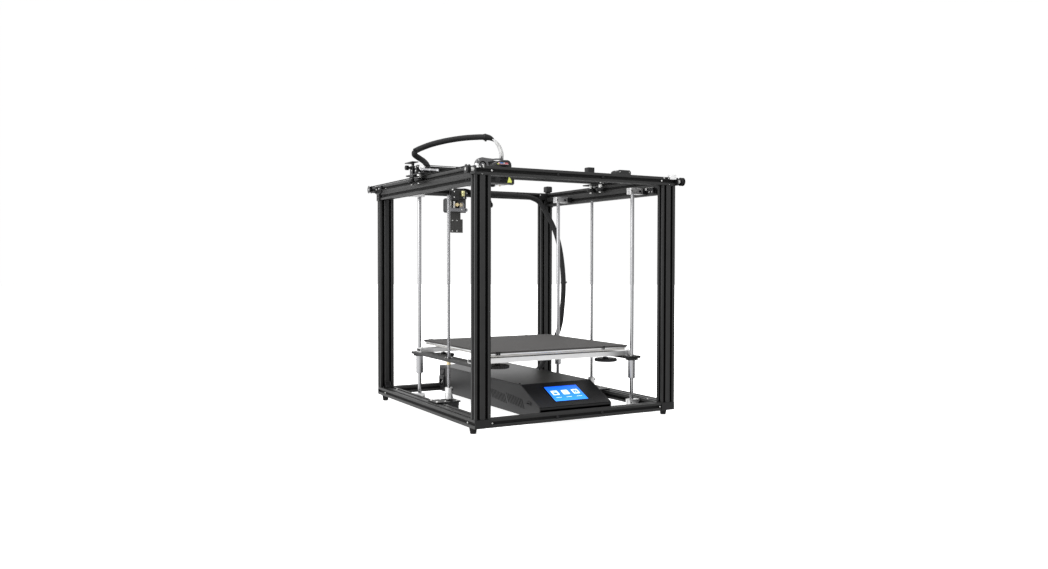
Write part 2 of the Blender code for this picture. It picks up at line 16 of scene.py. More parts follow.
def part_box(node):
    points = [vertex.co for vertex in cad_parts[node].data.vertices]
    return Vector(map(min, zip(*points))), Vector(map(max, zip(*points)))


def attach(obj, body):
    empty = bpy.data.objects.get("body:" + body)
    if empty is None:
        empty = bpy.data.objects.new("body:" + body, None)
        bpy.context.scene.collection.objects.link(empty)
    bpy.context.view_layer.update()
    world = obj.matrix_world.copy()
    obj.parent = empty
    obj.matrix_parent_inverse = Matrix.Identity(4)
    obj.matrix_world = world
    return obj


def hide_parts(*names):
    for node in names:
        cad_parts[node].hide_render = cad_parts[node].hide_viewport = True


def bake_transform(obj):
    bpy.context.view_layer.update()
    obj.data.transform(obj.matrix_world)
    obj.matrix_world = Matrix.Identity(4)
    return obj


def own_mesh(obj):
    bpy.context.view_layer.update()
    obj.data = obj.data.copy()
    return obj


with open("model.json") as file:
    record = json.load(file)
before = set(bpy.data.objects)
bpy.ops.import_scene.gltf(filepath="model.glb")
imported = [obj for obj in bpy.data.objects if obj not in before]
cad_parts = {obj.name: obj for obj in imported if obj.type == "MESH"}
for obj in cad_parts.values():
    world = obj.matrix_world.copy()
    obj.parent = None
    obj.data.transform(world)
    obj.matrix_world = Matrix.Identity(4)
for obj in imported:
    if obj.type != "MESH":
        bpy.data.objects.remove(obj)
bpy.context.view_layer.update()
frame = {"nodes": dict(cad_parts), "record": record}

MM = 0.001
SIDES = ("left", "right")
CORNER = Vector((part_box("post_front_left")[0].x, *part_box("base_rail_left")[0].yz))


def span_of(node):
    """A CAD node's lowest and highest corner in millimetres from the frame's corner."""
    return [(corner - CORNER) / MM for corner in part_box(node)]


WIDTH = span_of("post_front_right")[1].x
DEPTH = span_of("base_rail_left")[1].y
HEIGHT = span_of("top_rail_front")[1].z
PROFILE = span_of("base_rail_front")[1].z


# ---------------------------------------------------------------- materials

def node_tree(name):
    made = bpy.data.materials.new(name)
    made.use_nodes = True
    return made, made.node_tree, made.node_tree.nodes["Principled BSDF"]


def object_noise(tree, scale, stretch=(1, 1, 1), detail=4.0):
    """Noise in metres of the row frame; stretch scales its axes one by one."""
    place = tree.nodes.new("ShaderNodeTexCoord")
    mapping = tree.nodes.new("ShaderNodeMapping")
    mapping.inputs["Scale"].default_value = stretch
    noise = tree.nodes.new("ShaderNodeTexNoise")
    noise.inputs["Scale"].default_value = scale
    noise.inputs["Detail"].default_value = detail
    tree.links.new(place.outputs["Object"], mapping.inputs["Vector"])
    tree.links.new(mapping.outputs["Vector"], noise.inputs["Vector"])
    return noise.outputs["Fac"]


def ranged(tree, value, low, high):
    spread = tree.nodes.new("ShaderNodeMapRange")
    spread.inputs["From Min"].default_value = 0.3
    spread.inputs["From Max"].default_value = 0.7
    spread.inputs["To Min"].default_value = low
    spread.inputs["To Max"].default_value = high
    tree.links.new(value, spread.inputs["Value"])
    return spread.outputs["Result"]


def mixed(tree, factor, one, two):
    mix = tree.nodes.new("ShaderNodeMix")
    mix.data_type = "RGBA"
    mix.inputs[6].default_value = (*one, 1)
    mix.inputs[7].default_value = (*two, 1)
    tree.links.new(factor, mix.inputs[0])
    return mix.outputs[2]


def bumped(tree, shader, height, distance, strength=1.0):
    bump = tree.nodes.new("ShaderNodeBump")
    bump.inputs["Distance"].default_value = distance
    bump.inputs["Strength"].default_value = strength
    tree.links.new(height, bump.inputs["Height"])
    tree.links.new(bump.outputs["Normal"], shader.inputs["Normal"])


def finish(name, colour, roughness, metallic=0.0, vary=0.12, grain=(900, 0.00003),
           stretch=(1, 1, 1), specular=0.5):
    """A surface with uneven colour and gloss over tens of millimetres and a fine grain.

    roughness is (low, high) and grain is (noise scale, height in metres)."""
    made, tree, shader = node_tree(name)
    broad = object_noise(tree, 35)
    dark = [c * (1 - vary) for c in colour]
    light = [min(1, c * (1 + vary)) for c in colour]
    tree.links.new(mixed(tree, ranged(tree, broad, 0, 1), dark, light), shader.inputs["Base Color"])
    fine = object_noise(tree, grain[0], stretch)
    tree.links.new(ranged(tree, fine, *roughness), shader.inputs["Roughness"])
    shader.inputs["Metallic"].default_value = metallic
    shader.inputs["Specular IOR Level"].default_value = specular
    bumped(tree, shader, fine, grain[1], 0.6)
    return made


def layered(name, axis, colour, pitch):
    """Lacquered steel sheets stacked along an axis, one every pitch metres."""
    made, tree, shader = node_tree(name)
    place = tree.nodes.new("ShaderNodeTexCoord")
    wave = tree.nodes.new("ShaderNodeTexWave")
    wave.bands_direction = axis
    wave.inputs["Scale"].default_value = 0.314 / pitch
    wave.inputs["Distortion"].default_value = 0.0
    tree.links.new(place.outputs["Object"], wave.inputs["Vector"])
    tone = mixed(tree, wave.outputs["Fac"], [c * 0.6 for c in colour], [c * 1.2 for c in colour])
    tree.links.new(tone, shader.inputs["Base Color"])
    shader.inputs["Metallic"].default_value = 0.3
    tree.links.new(ranged(tree, object_noise(tree, 300), 0.35, 0.5), shader.inputs["Roughness"])
    bumped(tree, shader, wave.outputs["Fac"], 0.00008, 0.5)
    return made


def speckled(name, colour, flecks, roughness, scale, height):
    """A matte ground with fine lighter grains that stand up from it."""
    made, tree, shader = node_tree(name)
    fine = object_noise(tree, scale, detail=2.0)
    cells = tree.nodes.new("ShaderNodeTexVoronoi")
    cells.inputs["Scale"].default_value = scale * 1.4
    place = tree.nodes.new("ShaderNodeTexCoord")
    tree.links.new(place.outputs["Object"], cells.inputs["Vector"])
    tree.links.new(mixed(tree, ranged(tree, fine, 0, 1), colour, flecks),
                   shader.inputs["Base Color"])
    tree.links.new(ranged(tree, fine, *roughness), shader.inputs["Roughness"])
    bumped(tree, shader, cells.outputs["Distance"], height, 0.5)
    return made


def backlit(name):
    """The touchscreen's picture, lit from behind: a blue that darkens towards its upper edge."""
    made, tree, shader = node_tree(name)
    place = tree.nodes.new("ShaderNodeTexCoord")
    parts = tree.nodes.new("ShaderNodeSeparateXYZ")
    ramp = tree.nodes.new("ShaderNodeValToRGB")
    ramp.color_ramp.elements[0].color = (0.03, 0.25, 0.98, 1)
    ramp.color_ramp.elements[1].color = (0.006, 0.10, 0.80, 1)
    tree.links.new(place.outputs["Generated"], parts.inputs["Vector"])
    tree.links.new(parts.outputs["Y"], ramp.inputs["Fac"])
    tree.links.new(ramp.outputs["Color"], shader.inputs["Base Color"])
    tree.links.new(ramp.outputs["Color"], shader.inputs["Emission Color"])
    shader.inputs["Emission Strength"].default_value = 0.92
    tree.links.new(ranged(tree, object_noise(tree, 80), 0.15, 0.22), shader.inputs["Roughness"])
    return made


def glowing(name, colour, strength):
    made, tree, shader = node_tree(name)
    tone = mixed(tree, object_noise(tree, 900), [c * 0.92 for c in colour], colour)
    tree.links.new(tone, shader.inputs["Base Color"])
    tree.links.new(tone, shader.inputs["Emission Color"])
    shader.inputs["Emission Strength"].default_value = strength
    return made


ALONG = {"X": (0.02, 1, 1), "Y": (1, 0.02, 1), "Z": (1, 1, 0.02)}
anodised = {a: finish(f"anodised_along_{a}", (0.017, 0.017, 0.017), (0.34, 0.46),
                      grain=(2600, 0.00002), stretch=ALONG[a], specular=0.3) for a in "XYZ"}
# Painted shade: near-black materials for the faces inside the rails' slots; the posts get the darker
# one.
painted_slot_shade = finish("slot_painted_shade_soft", (0.010, 0.010, 0.010), (0.6, 0.8), specular=0.2)
painted_deep_slot_shade = finish("slot_painted_shade", (0.0022, 0.0022, 0.0023), (0.7, 0.9), specular=0.06)
black_plate = finish("black_plate", (0.008, 0.008, 0.0085), (0.34, 0.46), grain=(3000, 0.00001),
                     specular=0.34)
feeder_coat = finish("feeder_coat", (0.026, 0.025, 0.024), (0.4, 0.52), grain=(1500, 0.00004))
powder_coat = finish("powder_coat", (0.009, 0.009, 0.0095), (0.32, 0.44), grain=(1500, 0.00006),
                     specular=0.36)
satin_black = finish("satin_panel", (0.007, 0.007, 0.0075), (0.26, 0.34), grain=(700, 0.00001),
                     specular=0.34)
gloss_black = finish("gloss_panel", (0.003, 0.003, 0.0035), (0.10, 0.16), grain=(60, 0.000002),
                     specular=0.4)
black_plastic = finish("black_plastic", (0.006, 0.006, 0.0065), (0.38, 0.50), grain=(2200, 0.00005),
                       specular=0.32)
cast_black = finish("cast_black", (0.012, 0.012, 0.0125), (0.42, 0.56), grain=(1400, 0.00012),
                    specular=0.36)
# Painted shade: a near-black material for the block that fills the control box's inside.
painted_case_shade = finish("case_inside_painted_shade", (0.004, 0.004, 0.004), (0.7, 0.9), specular=0.1)
rubber = finish("rubber", (0.006, 0.006, 0.006), (0.7, 0.85), grain=(1600, 0.00008),
                specular=0.3)
belt_rubber = finish("belt_rubber", (0.006, 0.006, 0.006), (0.6, 0.75), grain=(2600, 0.00006),
                     specular=0.25)
steel = finish("polished_steel", (0.42, 0.42, 0.43), (0.20, 0.21), metallic=1.0, vary=0.02,
               grain=(120, 0.00000001), stretch=ALONG["Z"])
dark_steel = finish("dark_steel", (0.09, 0.09, 0.092), (0.28, 0.40), metallic=1.0, vary=0.06,
                    grain=(2400, 0.00001))
screw_steel = finish("screw_steel", (0.55, 0.55, 0.54), (0.22, 0.34), metallic=1.0, vary=0.05,
                     grain=(3000, 0.00001))
black_oxide = finish("black_oxide", (0.012, 0.012, 0.013), (0.3, 0.45), metallic=0.5,
                     grain=(3000, 0.00002))
aluminium = finish("aluminium", (0.82, 0.82, 0.82), (0.28, 0.40), metallic=1.0, vary=0.03,
                   grain=(2000, 0.00001), stretch=ALONG["X"])
lever_grey = finish("lever_grey", (0.22, 0.22, 0.23), (0.35, 0.5), metallic=1.0, vary=0.05,
                    grain=(2000, 0.00003))
pale_brass = finish("pale_brass", (0.60, 0.58, 0.30), (0.3, 0.4), metallic=0.8,
                    grain=(2400, 0.00001))
brass = finish("brass", (0.68, 0.57, 0.34), (0.24, 0.38), metallic=1.0, vary=0.06,
               grain=(2400, 0.00001))
insulation = finish("insulation", (0.50, 0.49, 0.47), (0.75, 0.9), grain=(900, 0.00015))
white_tube = finish("white_tube", (0.80, 0.80, 0.78), (0.3, 0.4), grain=(500, 0.00001))
wire_black = finish("wire_black", (0.010, 0.010, 0.010), (0.4, 0.55), grain=(900, 0.00002))
braid = finish("braided_sleeve", (0.006, 0.006, 0.0065), (0.5, 0.7), grain=(4200, 0.00012),
               specular=0.3)
lead_grey = finish("lead_grey", (0.48, 0.48, 0.48), (0.4, 0.55), grain=(900, 0.00002))
grey_plastic = finish("grey_plastic", (0.085, 0.085, 0.088), (0.35, 0.5), grain=(2000, 0.00003))
LABEL_COLOURS = {"yellow": (0.62, 0.68, 0.12), "pink": (0.78, 0.42, 0.46),
                 "red": (0.62, 0.10, 0.12), "blue": (0.06, 0.20, 0.55), "white": (0.7, 0.7, 0.7)}
label = {name: finish(f"{name}_label", colour, (0.35, 0.5), grain=(900, 0.00001))
         for name, colour in LABEL_COLOURS.items()}
print_surface = speckled("print_surface", (0.030, 0.028, 0.027), (0.052, 0.049, 0.047),
                         (0.7, 0.88), 1900, 0.00010)
laminations = {a: layered(f"laminations_{a}", a, (0.010, 0.010, 0.011), 0.0012) for a in "XYZ"}
screen_picture = backlit("screen_picture")
screen_white = glowing("screen_white", (0.66, 0.82, 1.0), 0.8)


# ---------------------------------------------------------------- shape helpers

def solid(bm):
    bmesh.ops.recalc_face_normals(bm, faces=bm.faces)
    mesh = bpy.data.meshes.new("shape")
    bm.to_mesh(mesh)
    bm.free()
    made = bpy.data.objects.new("shape", mesh)
    bpy.context.scene.collection.objects.link(made)
    return made


def point_on(axis, pair, along):
    """A point from its place along an axis and the two other coordinates, in X, Y, Z order."""
    place = list(pair)
    place.insert("XYZ".index(axis), along)
    return Vector(place)


def lofted(loops, ring=False):
    """A surface through loops with the same number of points, closed at its ends unless a ring."""
    bm = bmesh.new()
    rows = [[bm.verts.new(p) for p in loop] for loop in loops]
    count = len(rows[0])
    pairs = list(zip(rows, rows[1:])) + ([(rows[-1], rows[0])] if ring else [])
    for one, two in pairs:
        for k in range(count):
            after = (k + 1) % count
            bm.faces.new((one[k], one[after], two[after], two[k]))
    if not ring:
        bm.faces.new(rows[0][::-1])
        bm.faces.new(rows[-1])
    return solid(bm)


def prism(outline, axis, low, high):
    return lofted([[point_on(axis, pair, along) for pair in outline] for along in (low, high)])


def block(low, high):
    outline = [(low[0], low[1]), (high[0], low[1]), (high[0], high[1]), (low[0], high[1])]
    return prism(outline, "Z", low[2], high[2])


def rounded(low, high, radius, steps=5):
    """The outline of a rectangle with round corners."""
    outline = []
    corners = [(high[0], high[1], 0), (low[0], high[1], 1),
               (low[0], low[1], 2), (high[0], low[1], 3)]
    for u, v, quarter in corners:
        cu = u - radius if u == high[0] else u + radius
        cv = v - radius if v == high[1] else v + radius
        for step in range(steps + 1):
            angle = math.pi / 2 * (quarter + step / steps)
            outline.append((cu + radius * math.cos(angle), cv + radius * math.sin(angle)))
    return outline


def circle(centre, radius, segments=32):
    turn = 2 * math.pi / segments
    return [(centre[0] + radius * math.cos(turn * s), centre[1] + radius * math.sin(turn * s))
            for s in range(segments)]


def turned(profile, axis, centre, segments=40):
    """A profile of (radius, place along the axis), turned about an axis through centre."""
    bm = bmesh.new()
    rows = []
    for radius, along in profile:
        if radius == 0:
            rows.append([bm.verts.new(point_on(axis, centre, along))] * segments)
        else:
            rows.append([bm.verts.new(point_on(axis, p, along))
                         for p in circle(centre, radius, segments)])
    for one, two in zip(rows, rows[1:] + rows[:1]):
        for s in range(segments):
            corners = [one[s], one[(s + 1) % segments], two[(s + 1) % segments], two[s]]
            corners = [c for i, c in enumerate(corners) if c not in corners[:i]]
            if len(corners) > 2:
                bm.faces.new(corners)
    return solid(bm)


def rod(radius, axis, centre, low, high, segments=40, edge=0.3):
    profile = [(0, low), (radius - edge, low), (radius, low + edge), (radius, high - edge),
               (radius - edge, high), (0, high)]
    return turned(profile, axis, centre, segments)


def pipe_ring(inner, outer, axis, centre, low, high, segments=40):
    return turned([(inner, low), (outer, low), (outer, high), (inner, high)], axis, centre, segments)


def together(*shapes):
    """Several shapes as one object, each still its own shell."""
    bm = bmesh.new()
    for shape in shapes:
        bm.from_mesh(shape.data)
        bpy.data.objects.remove(shape)
    return solid(bm)


def combined(base, operation, others):
    for other in others:
        step = base.modifiers.new("step", "BOOLEAN")
        step.operation = operation
        step.solver = "EXACT"
        step.object = other
    graph = bpy.context.evaluated_depsgraph_get()
    mesh = bpy.data.meshes.new_from_object(base.evaluated_get(graph))
    base.modifiers.clear()
    base.data = mesh
    for other in others:
        bpy.data.objects.remove(other)
    return base


def carved(base, *cutters):
    return combined(base, "DIFFERENCE", cutters)


def fused(base, *others):
    return combined(base, "UNION", others)


def moved(shape, matrix):
    shape.data.transform(matrix)
    return shape


def facing(place, outward):
    """A matrix that stands a shape made along +Z on a place, pointing outward."""
    turn = Vector((0, 0, 1)).rotation_difference(Vector(outward)).to_matrix().to_4x4()
    return Matrix.Translation(Vector(place)) @ turn


def screw(place, outward, radius=4.2, height=2.4, cap=False):
    """A screw head with a hexagon socket, standing on place."""
    socket, sixth = radius * 0.5, math.pi / 6
    if cap:
        height = radius * 1.1
        shoulder = [(radius, 0), (radius, height * 0.88), (radius * 0.9, height)]
    else:
        shoulder = [(radius, 0), (radius, height * 0.2), (radius * 0.86, height * 0.65),
                    (radius * 0.62, height)]
    segments = 24
    loops = [[(r * math.cos(t), r * math.sin(t), z)
              for t in (2 * math.pi * s / segments for s in range(segments))] for r, z in shoulder]
    for z in (height, height * 0.4):
        loop = []
        for s in range(segments):
            t = 2 * math.pi * s / segments
            r = socket * math.cos(sixth) / math.cos((t + sixth) % (math.pi / 3) - sixth)
            loop.append((r * math.cos(t), r * math.sin(t), z))
        loops.append(loop)
    return moved(lofted(loops), facing(place, outward))


def smooth_route(points, spacing):
    """Points at an even spacing on a smooth curve through the given ones."""
    points = [Vector(p) for p in points]
    points = [2 * points[0] - points[1]] + points + [2 * points[-1] - points[-2]]
    fine = []
    for a, b, c, d in zip(points, points[1:], points[2:], points[3:]):
        for step in range(40):
            t = step / 40
            fine.append(0.5 * (2 * b + (c - a) * t + (2 * a - 5 * b + 4 * c - d) * t ** 2
                               + (3 * b - a - 3 * c + d) * t ** 3))
    fine.append(points[-2])
    lengths = [0.0]
    for one, two in zip(fine, fine[1:]):
        lengths.append(lengths[-1] + (two - one).length)
    count = max(2, round(lengths[-1] / spacing))
    route, i = [], 1
    for k in range(count + 1):
        want = lengths[-1] * k / count
        while i < len(fine) - 1 and lengths[i] < want:
            i += 1
        part = (want - lengths[i - 1]) / (lengths[i] - lengths[i - 1])
        route.append(fine[i - 1].lerp(fine[i], part))
    return route


def swept(route, sides, radius_at):
    """A tube along a route. radius_at takes the angle and the distance along the route."""
    forward = (route[1] - route[0]).normalized()
    side = forward.orthogonal().normalized()
    loops, distance = [], 0.0
    for k, centre in enumerate(route):
        after = route[min(k + 1, len(route) - 1)]
        before = route[max(k - 1, 0)]
        now = (after - before).normalized()
        side = (forward.rotation_difference(now) @ side).normalized()
        forward = now
        other = forward.cross(side)
        loop = []
        for s in range(sides):
            angle = 2 * math.pi * s / sides
            r = radius_at(angle, distance)
            loop.append(centre + side * (r * math.cos(angle)) + other * (r * math.sin(angle)))
        loops.append(loop)
        distance += (after - centre).length
    return lofted(loops)


def wire(points, radius, spacing=3.0, sides=12):
    return swept(smooth_route(points, spacing), sides, lambda angle, distance: radius)


TOOTH_PITCH, TOOTH_DEPTH, BELT_THICKNESS = 2.0, 0.7, 1.4


def belt(axis, one, radius_one, two, radius_two, low, high):
    """A toothed belt round two pulleys, one point of its line every quarter of a tooth."""
    one, two = Vector(one), Vector(two)
    line = two - one
    heading = math.atan2(line.y, line.x)
    lean = math.acos((radius_one - radius_two) / line.length)
    run = math.sqrt(line.length ** 2 - (radius_one - radius_two) ** 2)
    arc_one = radius_one * (2 * math.pi - 2 * lean)
    arc_two = radius_two * 2 * lean
    total = arc_one + run + arc_two + run
    teeth = round(total / TOOTH_PITCH)
    stations = []
    for k in range(4 * teeth):
        s = total * k / (4 * teeth)
        if s < arc_one:
            normal = heading + lean + s / radius_one
            centre, radius = one, radius_one
        elif s < arc_one + run:
            normal = heading - lean
            centre = one.lerp(two, (s - arc_one) / run)
            radius = radius_one + (radius_two - radius_one) * (s - arc_one) / run
        elif s < arc_one + run + arc_two:
            normal = heading - lean + (s - arc_one - run) / radius_two
            centre, radius = two, radius_two
        else:
            part = (s - arc_one - run - arc_two) / run
            normal = heading + lean
            centre = two.lerp(one, part)
            radius = radius_two + (radius_one - radius_two) * part
        out = Vector((math.cos(normal), math.sin(normal)))
        inner = centre + out * (radius + (TOOTH_DEPTH if k % 4 < 2 else 0.05))
        outer = centre + out * (radius + BELT_THICKNESS)
        stations.append([point_on(axis, p, along)
                         for p, along in ((inner, low), (outer, low), (outer, high), (inner, high))])
    return lofted(stations, ring=True)


def toothed_rim(axis, centre, radius, teeth, low, high):
    outline = []
    for k in range(4 * teeth):
        r = radius if k % 4 < 2 else radius - TOOTH_DEPTH
        t = 2 * math.pi * (k + 0.5) / (4 * teeth)
        outline.append((centre[0] + r * math.cos(t), centre[1] + r * math.sin(t)))
    return prism(outline, axis, low, high)


def mirrored(x, side):
    return x if side == "left" else WIDTH - x


def slab(near, far, low, high, side):
    """A block whose X stretch is measured from its own side; low and high are (Y, Z)."""
    x = sorted((mirrored(near, side), mirrored(far, side)))
    return block((x[0], *low), (x[1], *high))


def piece(name, shape, material, body="root", replaces=(), bevel=0.0, angle=35):
    """Names a shape, moves it into the row frame and hangs it on a body."""
    shape.name = name
    shape.data.name = name
    shape.data.transform(Matrix.Translation(CORNER) @ Matrix.Scale(MM, 4))
    shape.data.materials.clear()
    shape.data.materials.append(material)
    shape.data.shade_smooth()
    shape.data.set_sharp_from_angle(angle=math.radians(angle))
    if bevel:
        edge = shape.modifiers.new("edges", "BEVEL")
        edge.width = bevel * MM
        edge.segments = 2
        edge.limit_method = "ANGLE"
        edge.angle_limit = math.radians(angle)
    if body:
        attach(shape, body)
    if replaces:
        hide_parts(*replaces)
    return shape


# ---------------------------------------------------------------- camera, light and floor

def add_camera():
    """The camera stands at the front left of the printer, at half its height."""
    yaw, pitch, roll = 0.5155104, -0.0235691, 0.0016176
    focal_share = 0.838120  # focal length over the image width
    place = Vector((-854.816, -1727.501, 365.131))
    forward = Vector((math.sin(yaw) * math.cos(pitch), math.cos(yaw) * math.cos(pitch),
                      math.sin(pitch)))
    right = Vector((math.cos(yaw), -math.sin(yaw), 0))
    up = right.cross(forward)
    turned_right = right * math.cos(roll) + up * math.sin(roll)
    turned_up = up * math.cos(roll) - right * math.sin(roll)
    data = bpy.data.cameras.new("camera")
    data.sensor_width = 36.0
    data.lens = data.sensor_width * focal_share
    data.clip_end = 100
    camera = bpy.data.objects.new("camera", data)
    bpy.context.scene.collection.objects.link(camera)
    matrix = Matrix((turned_right, turned_up, -forward)).transposed().to_4x4()
    matrix.translation = CORNER + place * MM
    camera.matrix_world = matrix
    bpy.context.scene.camera = camera


def add_light(name, place, target, size, power):
    data = bpy.data.lights.new(name, "AREA")
    data.shape = "RECTANGLE"
    data.size, data.size_y = size
    data.energy = power
    light = bpy.data.objects.new(name, data)
    bpy.context.scene.collection.objects.link(light)
    light.location = place
    light.rotation_euler = (Vector(target) - Vector(place)).to_track_quat("-Z", "Y").to_euler()


def add_studio():
    """Light falls from the left and above. A dome that only the camera sees is the white ground."""
    world = bpy.data.worlds.new("studio")
    bpy.context.scene.world = world
    world.use_nodes = True
    tree = world.node_tree
    background = tree.nodes["Background"]
    background.inputs["Color"].default_value = (1, 1, 1, 1)
    place = tree.nodes.new("ShaderNodeTexCoord")
    toward = tree.nodes.new("ShaderNodeVectorMath")
    toward.operation = "DOT_PRODUCT"
    toward.inputs[1].default_value = Vector((-0.80, 0.25, 0.55)).normalized()
    strength = tree.nodes.new("ShaderNodeMapRange")
    for name, value in (("From Min", -0.35), ("From Max", 0.95), ("To Min", 0.84), ("To Max", 1.5)):
        strength.inputs[name].default_value = value
    tree.links.new(place.outputs["Generated"], toward.inputs[0])
    tree.links.new(toward.outputs["Value"], strength.inputs["Value"])
    tree.links.new(strength.outputs["Result"], background.inputs["Strength"])
    middle = (0, 0, 0.35)
    add_light("softbox_top", (-0.5, -0.5, 2.4), middle, (1.6, 1.6), 18)
    add_light("softbox_left", (-2.4, -0.3, 1.2), middle, (0.9, 1.8), 22)
    add_light("softbox_front", (1.3, -2.6, 1.5), middle, (0.7, 1.4), 6)

    bm = bmesh.new()
    bmesh.ops.create_circle(bm, cap_ends=True, segments=96, radius=14)
    floor = solid(bm)
    bm = bmesh.new()
    bmesh.ops.create_uvsphere(bm, u_segments=64, v_segments=32, radius=15)
    dome = solid(bm)
    for stage, name, tone, glow in ((floor, "floor", 0.86, 0.93), (dome, "dome", 0.0, 1.0)):
        material, tree, shader = node_tree(name + "_paint")
        paint = mixed(tree, object_noise(tree, 4), (tone * 0.99,) * 3, (tone,) * 3)
        tree.links.new(paint, shader.inputs["Base Color"])
        shader.inputs["Roughness"].default_value = 0.8
        shader.inputs["Specular IOR Level"].default_value = 0.1
        shader.inputs["Emission Color"].default_value = (1, 1, 1, 1)
        shader.inputs["Emission Strength"].default_value = glow
        stage.name = name
        stage.data.materials.append(material)
        stage.visible_diffuse = False
        stage.visible_glossy = False
        stage.visible_transmission = False
        stage.visible_shadow = False
    bpy.context.scene.view_settings.view_transform = "Standard"


# ---------------------------------------------------------------- frame

def rail_section(low, high):
    """The section of a V-slot profile, one slot in every 20 mm of each side."""
    slot = [(-4.6, 0), (-3.0, 1.6), (-3.0, 2.0), (-5.5, 2.0), (-5.5, 3.2), (-2.9, 5.9)]
    slot += [(-t, d) for t, d in reversed(slot)]
    corners = [Vector(low), Vector((high[0], low[1])), Vector(high), Vector((low[0], high[1]))]
    outline = []
    for start, end in zip(corners, corners[1:] + corners[:1]):
        along = (end - start).normalized()
        inward = Vector((-along.y, along.x))
        outline.append(start)
        for cell in range(round((end - start).length / PROFILE)):
            middle = start + along * PROFILE * (cell + 0.5)
            outline += [middle + along * t + inward * d for t, d in slot]
    return [tuple(p) for p in outline]


def add_rails():
    """V-slot profiles: their lips and webs catch the light, and the faces inside the slots get a
    near-black painted shade.
    """
    for name in sorted(frame["nodes"]):
        if not name.startswith(("post_", "base_rail_", "top_rail_", "gantry_beam")):
            continue
        axis = "X"
        if name.startswith("post_"):
            axis = "Z"
        elif name.endswith(("left", "right")):
            axis = "Y"
        run = "XYZ".index(axis)
        u, v = [i for i in range(3) if i != run]
        low, high = span_of(name)
        shape = prism(rail_section((low[u], low[v]), (high[u], high[v])), axis, low[run], high[run])
        bores = []
        for column in range(round((high[u] - low[u]) / PROFILE)):
            for row in range(round((high[v] - low[v]) / PROFILE)):
                centre = (low[u] + PROFILE * (column + 0.5), low[v] + PROFILE * (row + 0.5))
                bores += [rod(2.1, axis, centre, end - 8, end + 8, 16, 0)
                          for end in (low[run], high[run])]
        body = "gantry" if name == "gantry_beam" else "root"
        rail = piece(f"profile_{name}", carved(shape, *bores), anodised[axis], body,
                     [name], 0.3, 40)
        # Painted shade: faces more than 1.2 mm inside the section, other than end faces, take the slots'
        # near-black material.
        rail.data.materials.append(painted_deep_slot_shade if axis == "Z" else painted_slot_shade)
        for face in rail.data.polygons:
            centre = (face.center - CORNER) / MM
            depth = min(min(centre[i] - low[i], high[i] - centre[i]) for i in (u, v))
            if depth > 1.2 and abs(face.normal[run]) < 0.5:
                face.material_index = 1


def add_end_caps():
    for side in SIDES:
        for end, y in (("front", -0.1), ("rear", DEPTH + 0.1)):
            away = -1.3 if end == "front" else 1.3
            x = sorted((mirrored(0.4, side), mirrored(39.6, side)))
            cap = prism(rounded((x[0], 0.4), (x[1], PROFILE - 0.4), 1.4), "Y",
                        min(y, y + away), max(y, y + away))
            piece(f"end_cap_{end}_{side}", cap, black_plastic, bevel=0.3)


def add_frame_screws():
    bright, dark = [], []
    top, foot = HEIGHT - PROFILE / 2, PROFILE / 2
    for y, away in ((0.6, -1), (DEPTH - 0.6, 1)):
        out = (0, away, 0)
        for side in SIDES:
            bright.append(screw((mirrored(42.3, side), y, top), out, 2.5, 1.4))
            bright.append(screw((mirrored(18.4, side), y, HEIGHT - 18.3), out, 1.5, 0.8))
            bright.append(screw((mirrored(44, side), y, foot), out, 2.2, 1.2))
        for x in (215, 340):
            dark.append(screw((x, y, foot), out, 3.6, 1.6))
            dark.append(screw((x, y, top), out, 3.0, 1.2))
    for side in SIDES:
        out = (-1, 0, 0) if side == "left" else (1, 0, 0)
        face = mirrored(0.6, side)
        for y in (37, DEPTH - 56):
            bright.append(screw((face, y, foot), out, 2.2, 1.2))
        bright.append(screw((face, DEPTH - 63.4, HEIGHT - 11.5), out, 1.9, 1.0))
        for y, z in ((44, HEIGHT - 30), (DEPTH - 44, HEIGHT - 30), (30, HEIGHT - 30.6)):
            dark.append(screw((face, y, z), out, 3.0, 1.6))
        for y in (70, DEPTH - 69):
            bright.append(screw((mirrored(30, side), y, PROFILE - 0.6), (0, 0, 1), 2.7, 1.6))
    piece("frame_screws_bright", together(*bright), screw_steel)
    piece("frame_screws_dark", together(*dark), black_oxide)


def add_corner_brackets():
    """Small cast angles inside the corners, each with its screw."""
    shapes, screws = [], []
    for side in SIDES:
        for y, away in ((PROFILE + 0.3, 1), (DEPTH - PROFILE - 0.3, -1)):
            x = sorted((mirrored(12, side), mirrored(28, side)))
            outline = [(y, 20.2), (y + 16 * away, 20.2), (y + 16 * away, 22.6), (y + 5 * away, 24.4),
                       (y + 3 * away, 26), (y + 2.4 * away, 36), (y, 36)]
            wall = prism(outline, "X", *x)
            ribs = [prism([(y + 2 * away, 22), (y + 15 * away, 22), (y + 2 * away, 35)], "X", e, e + 1.6)
                    for e in (x[0], x[1] - 1.6)]
            shapes.append(fused(wall, *ribs))
            screws.append(screw((mirrored(20, side), y + 10 * away, 23.2), (0, 0, 1), 2.6, 1.6))
    piece("corner_brackets", together(*shapes), black_plate, bevel=0.3)
    piece("corner_bracket_screws", together(*screws), black_oxide)


def add_feet():
    for side in SIDES:
        for end in ("front", "rear"):
            node = f"foot_{end}_{side}"
            low, high = span_of(node)
            centre = ((low.x + high.x) / 2, (low.y + high.y) / 2)
            bottom = low.z
            profile = [(0, bottom + 0.8), (3.2, bottom + 0.8), (3.6, bottom), (5.9, bottom),
                       (6.7, bottom + 0.5), (7.1, bottom + 1.6), (8.7, -3.0), (9.0, -2.2),
                       (9.0, -0.5), (8.8, -0.3), (0, -0.3)]
            piece(node + "_rubber", turned(profile, "Z", centre, 48), rubber,
                  replaces=[node])


# ---------------------------------------------------------------- vertical motion

ROD_TOP = span_of("guide_rod_front_left")[1].z
ROD_X, ROD_ROWS = 61, (96, 456)
SCREW_X, SCREW_Y = 64, 276
MOTOR_HOLES = [(u, v) for u in (-15.5, 15.5) for v in (-15.5, 15.5)]


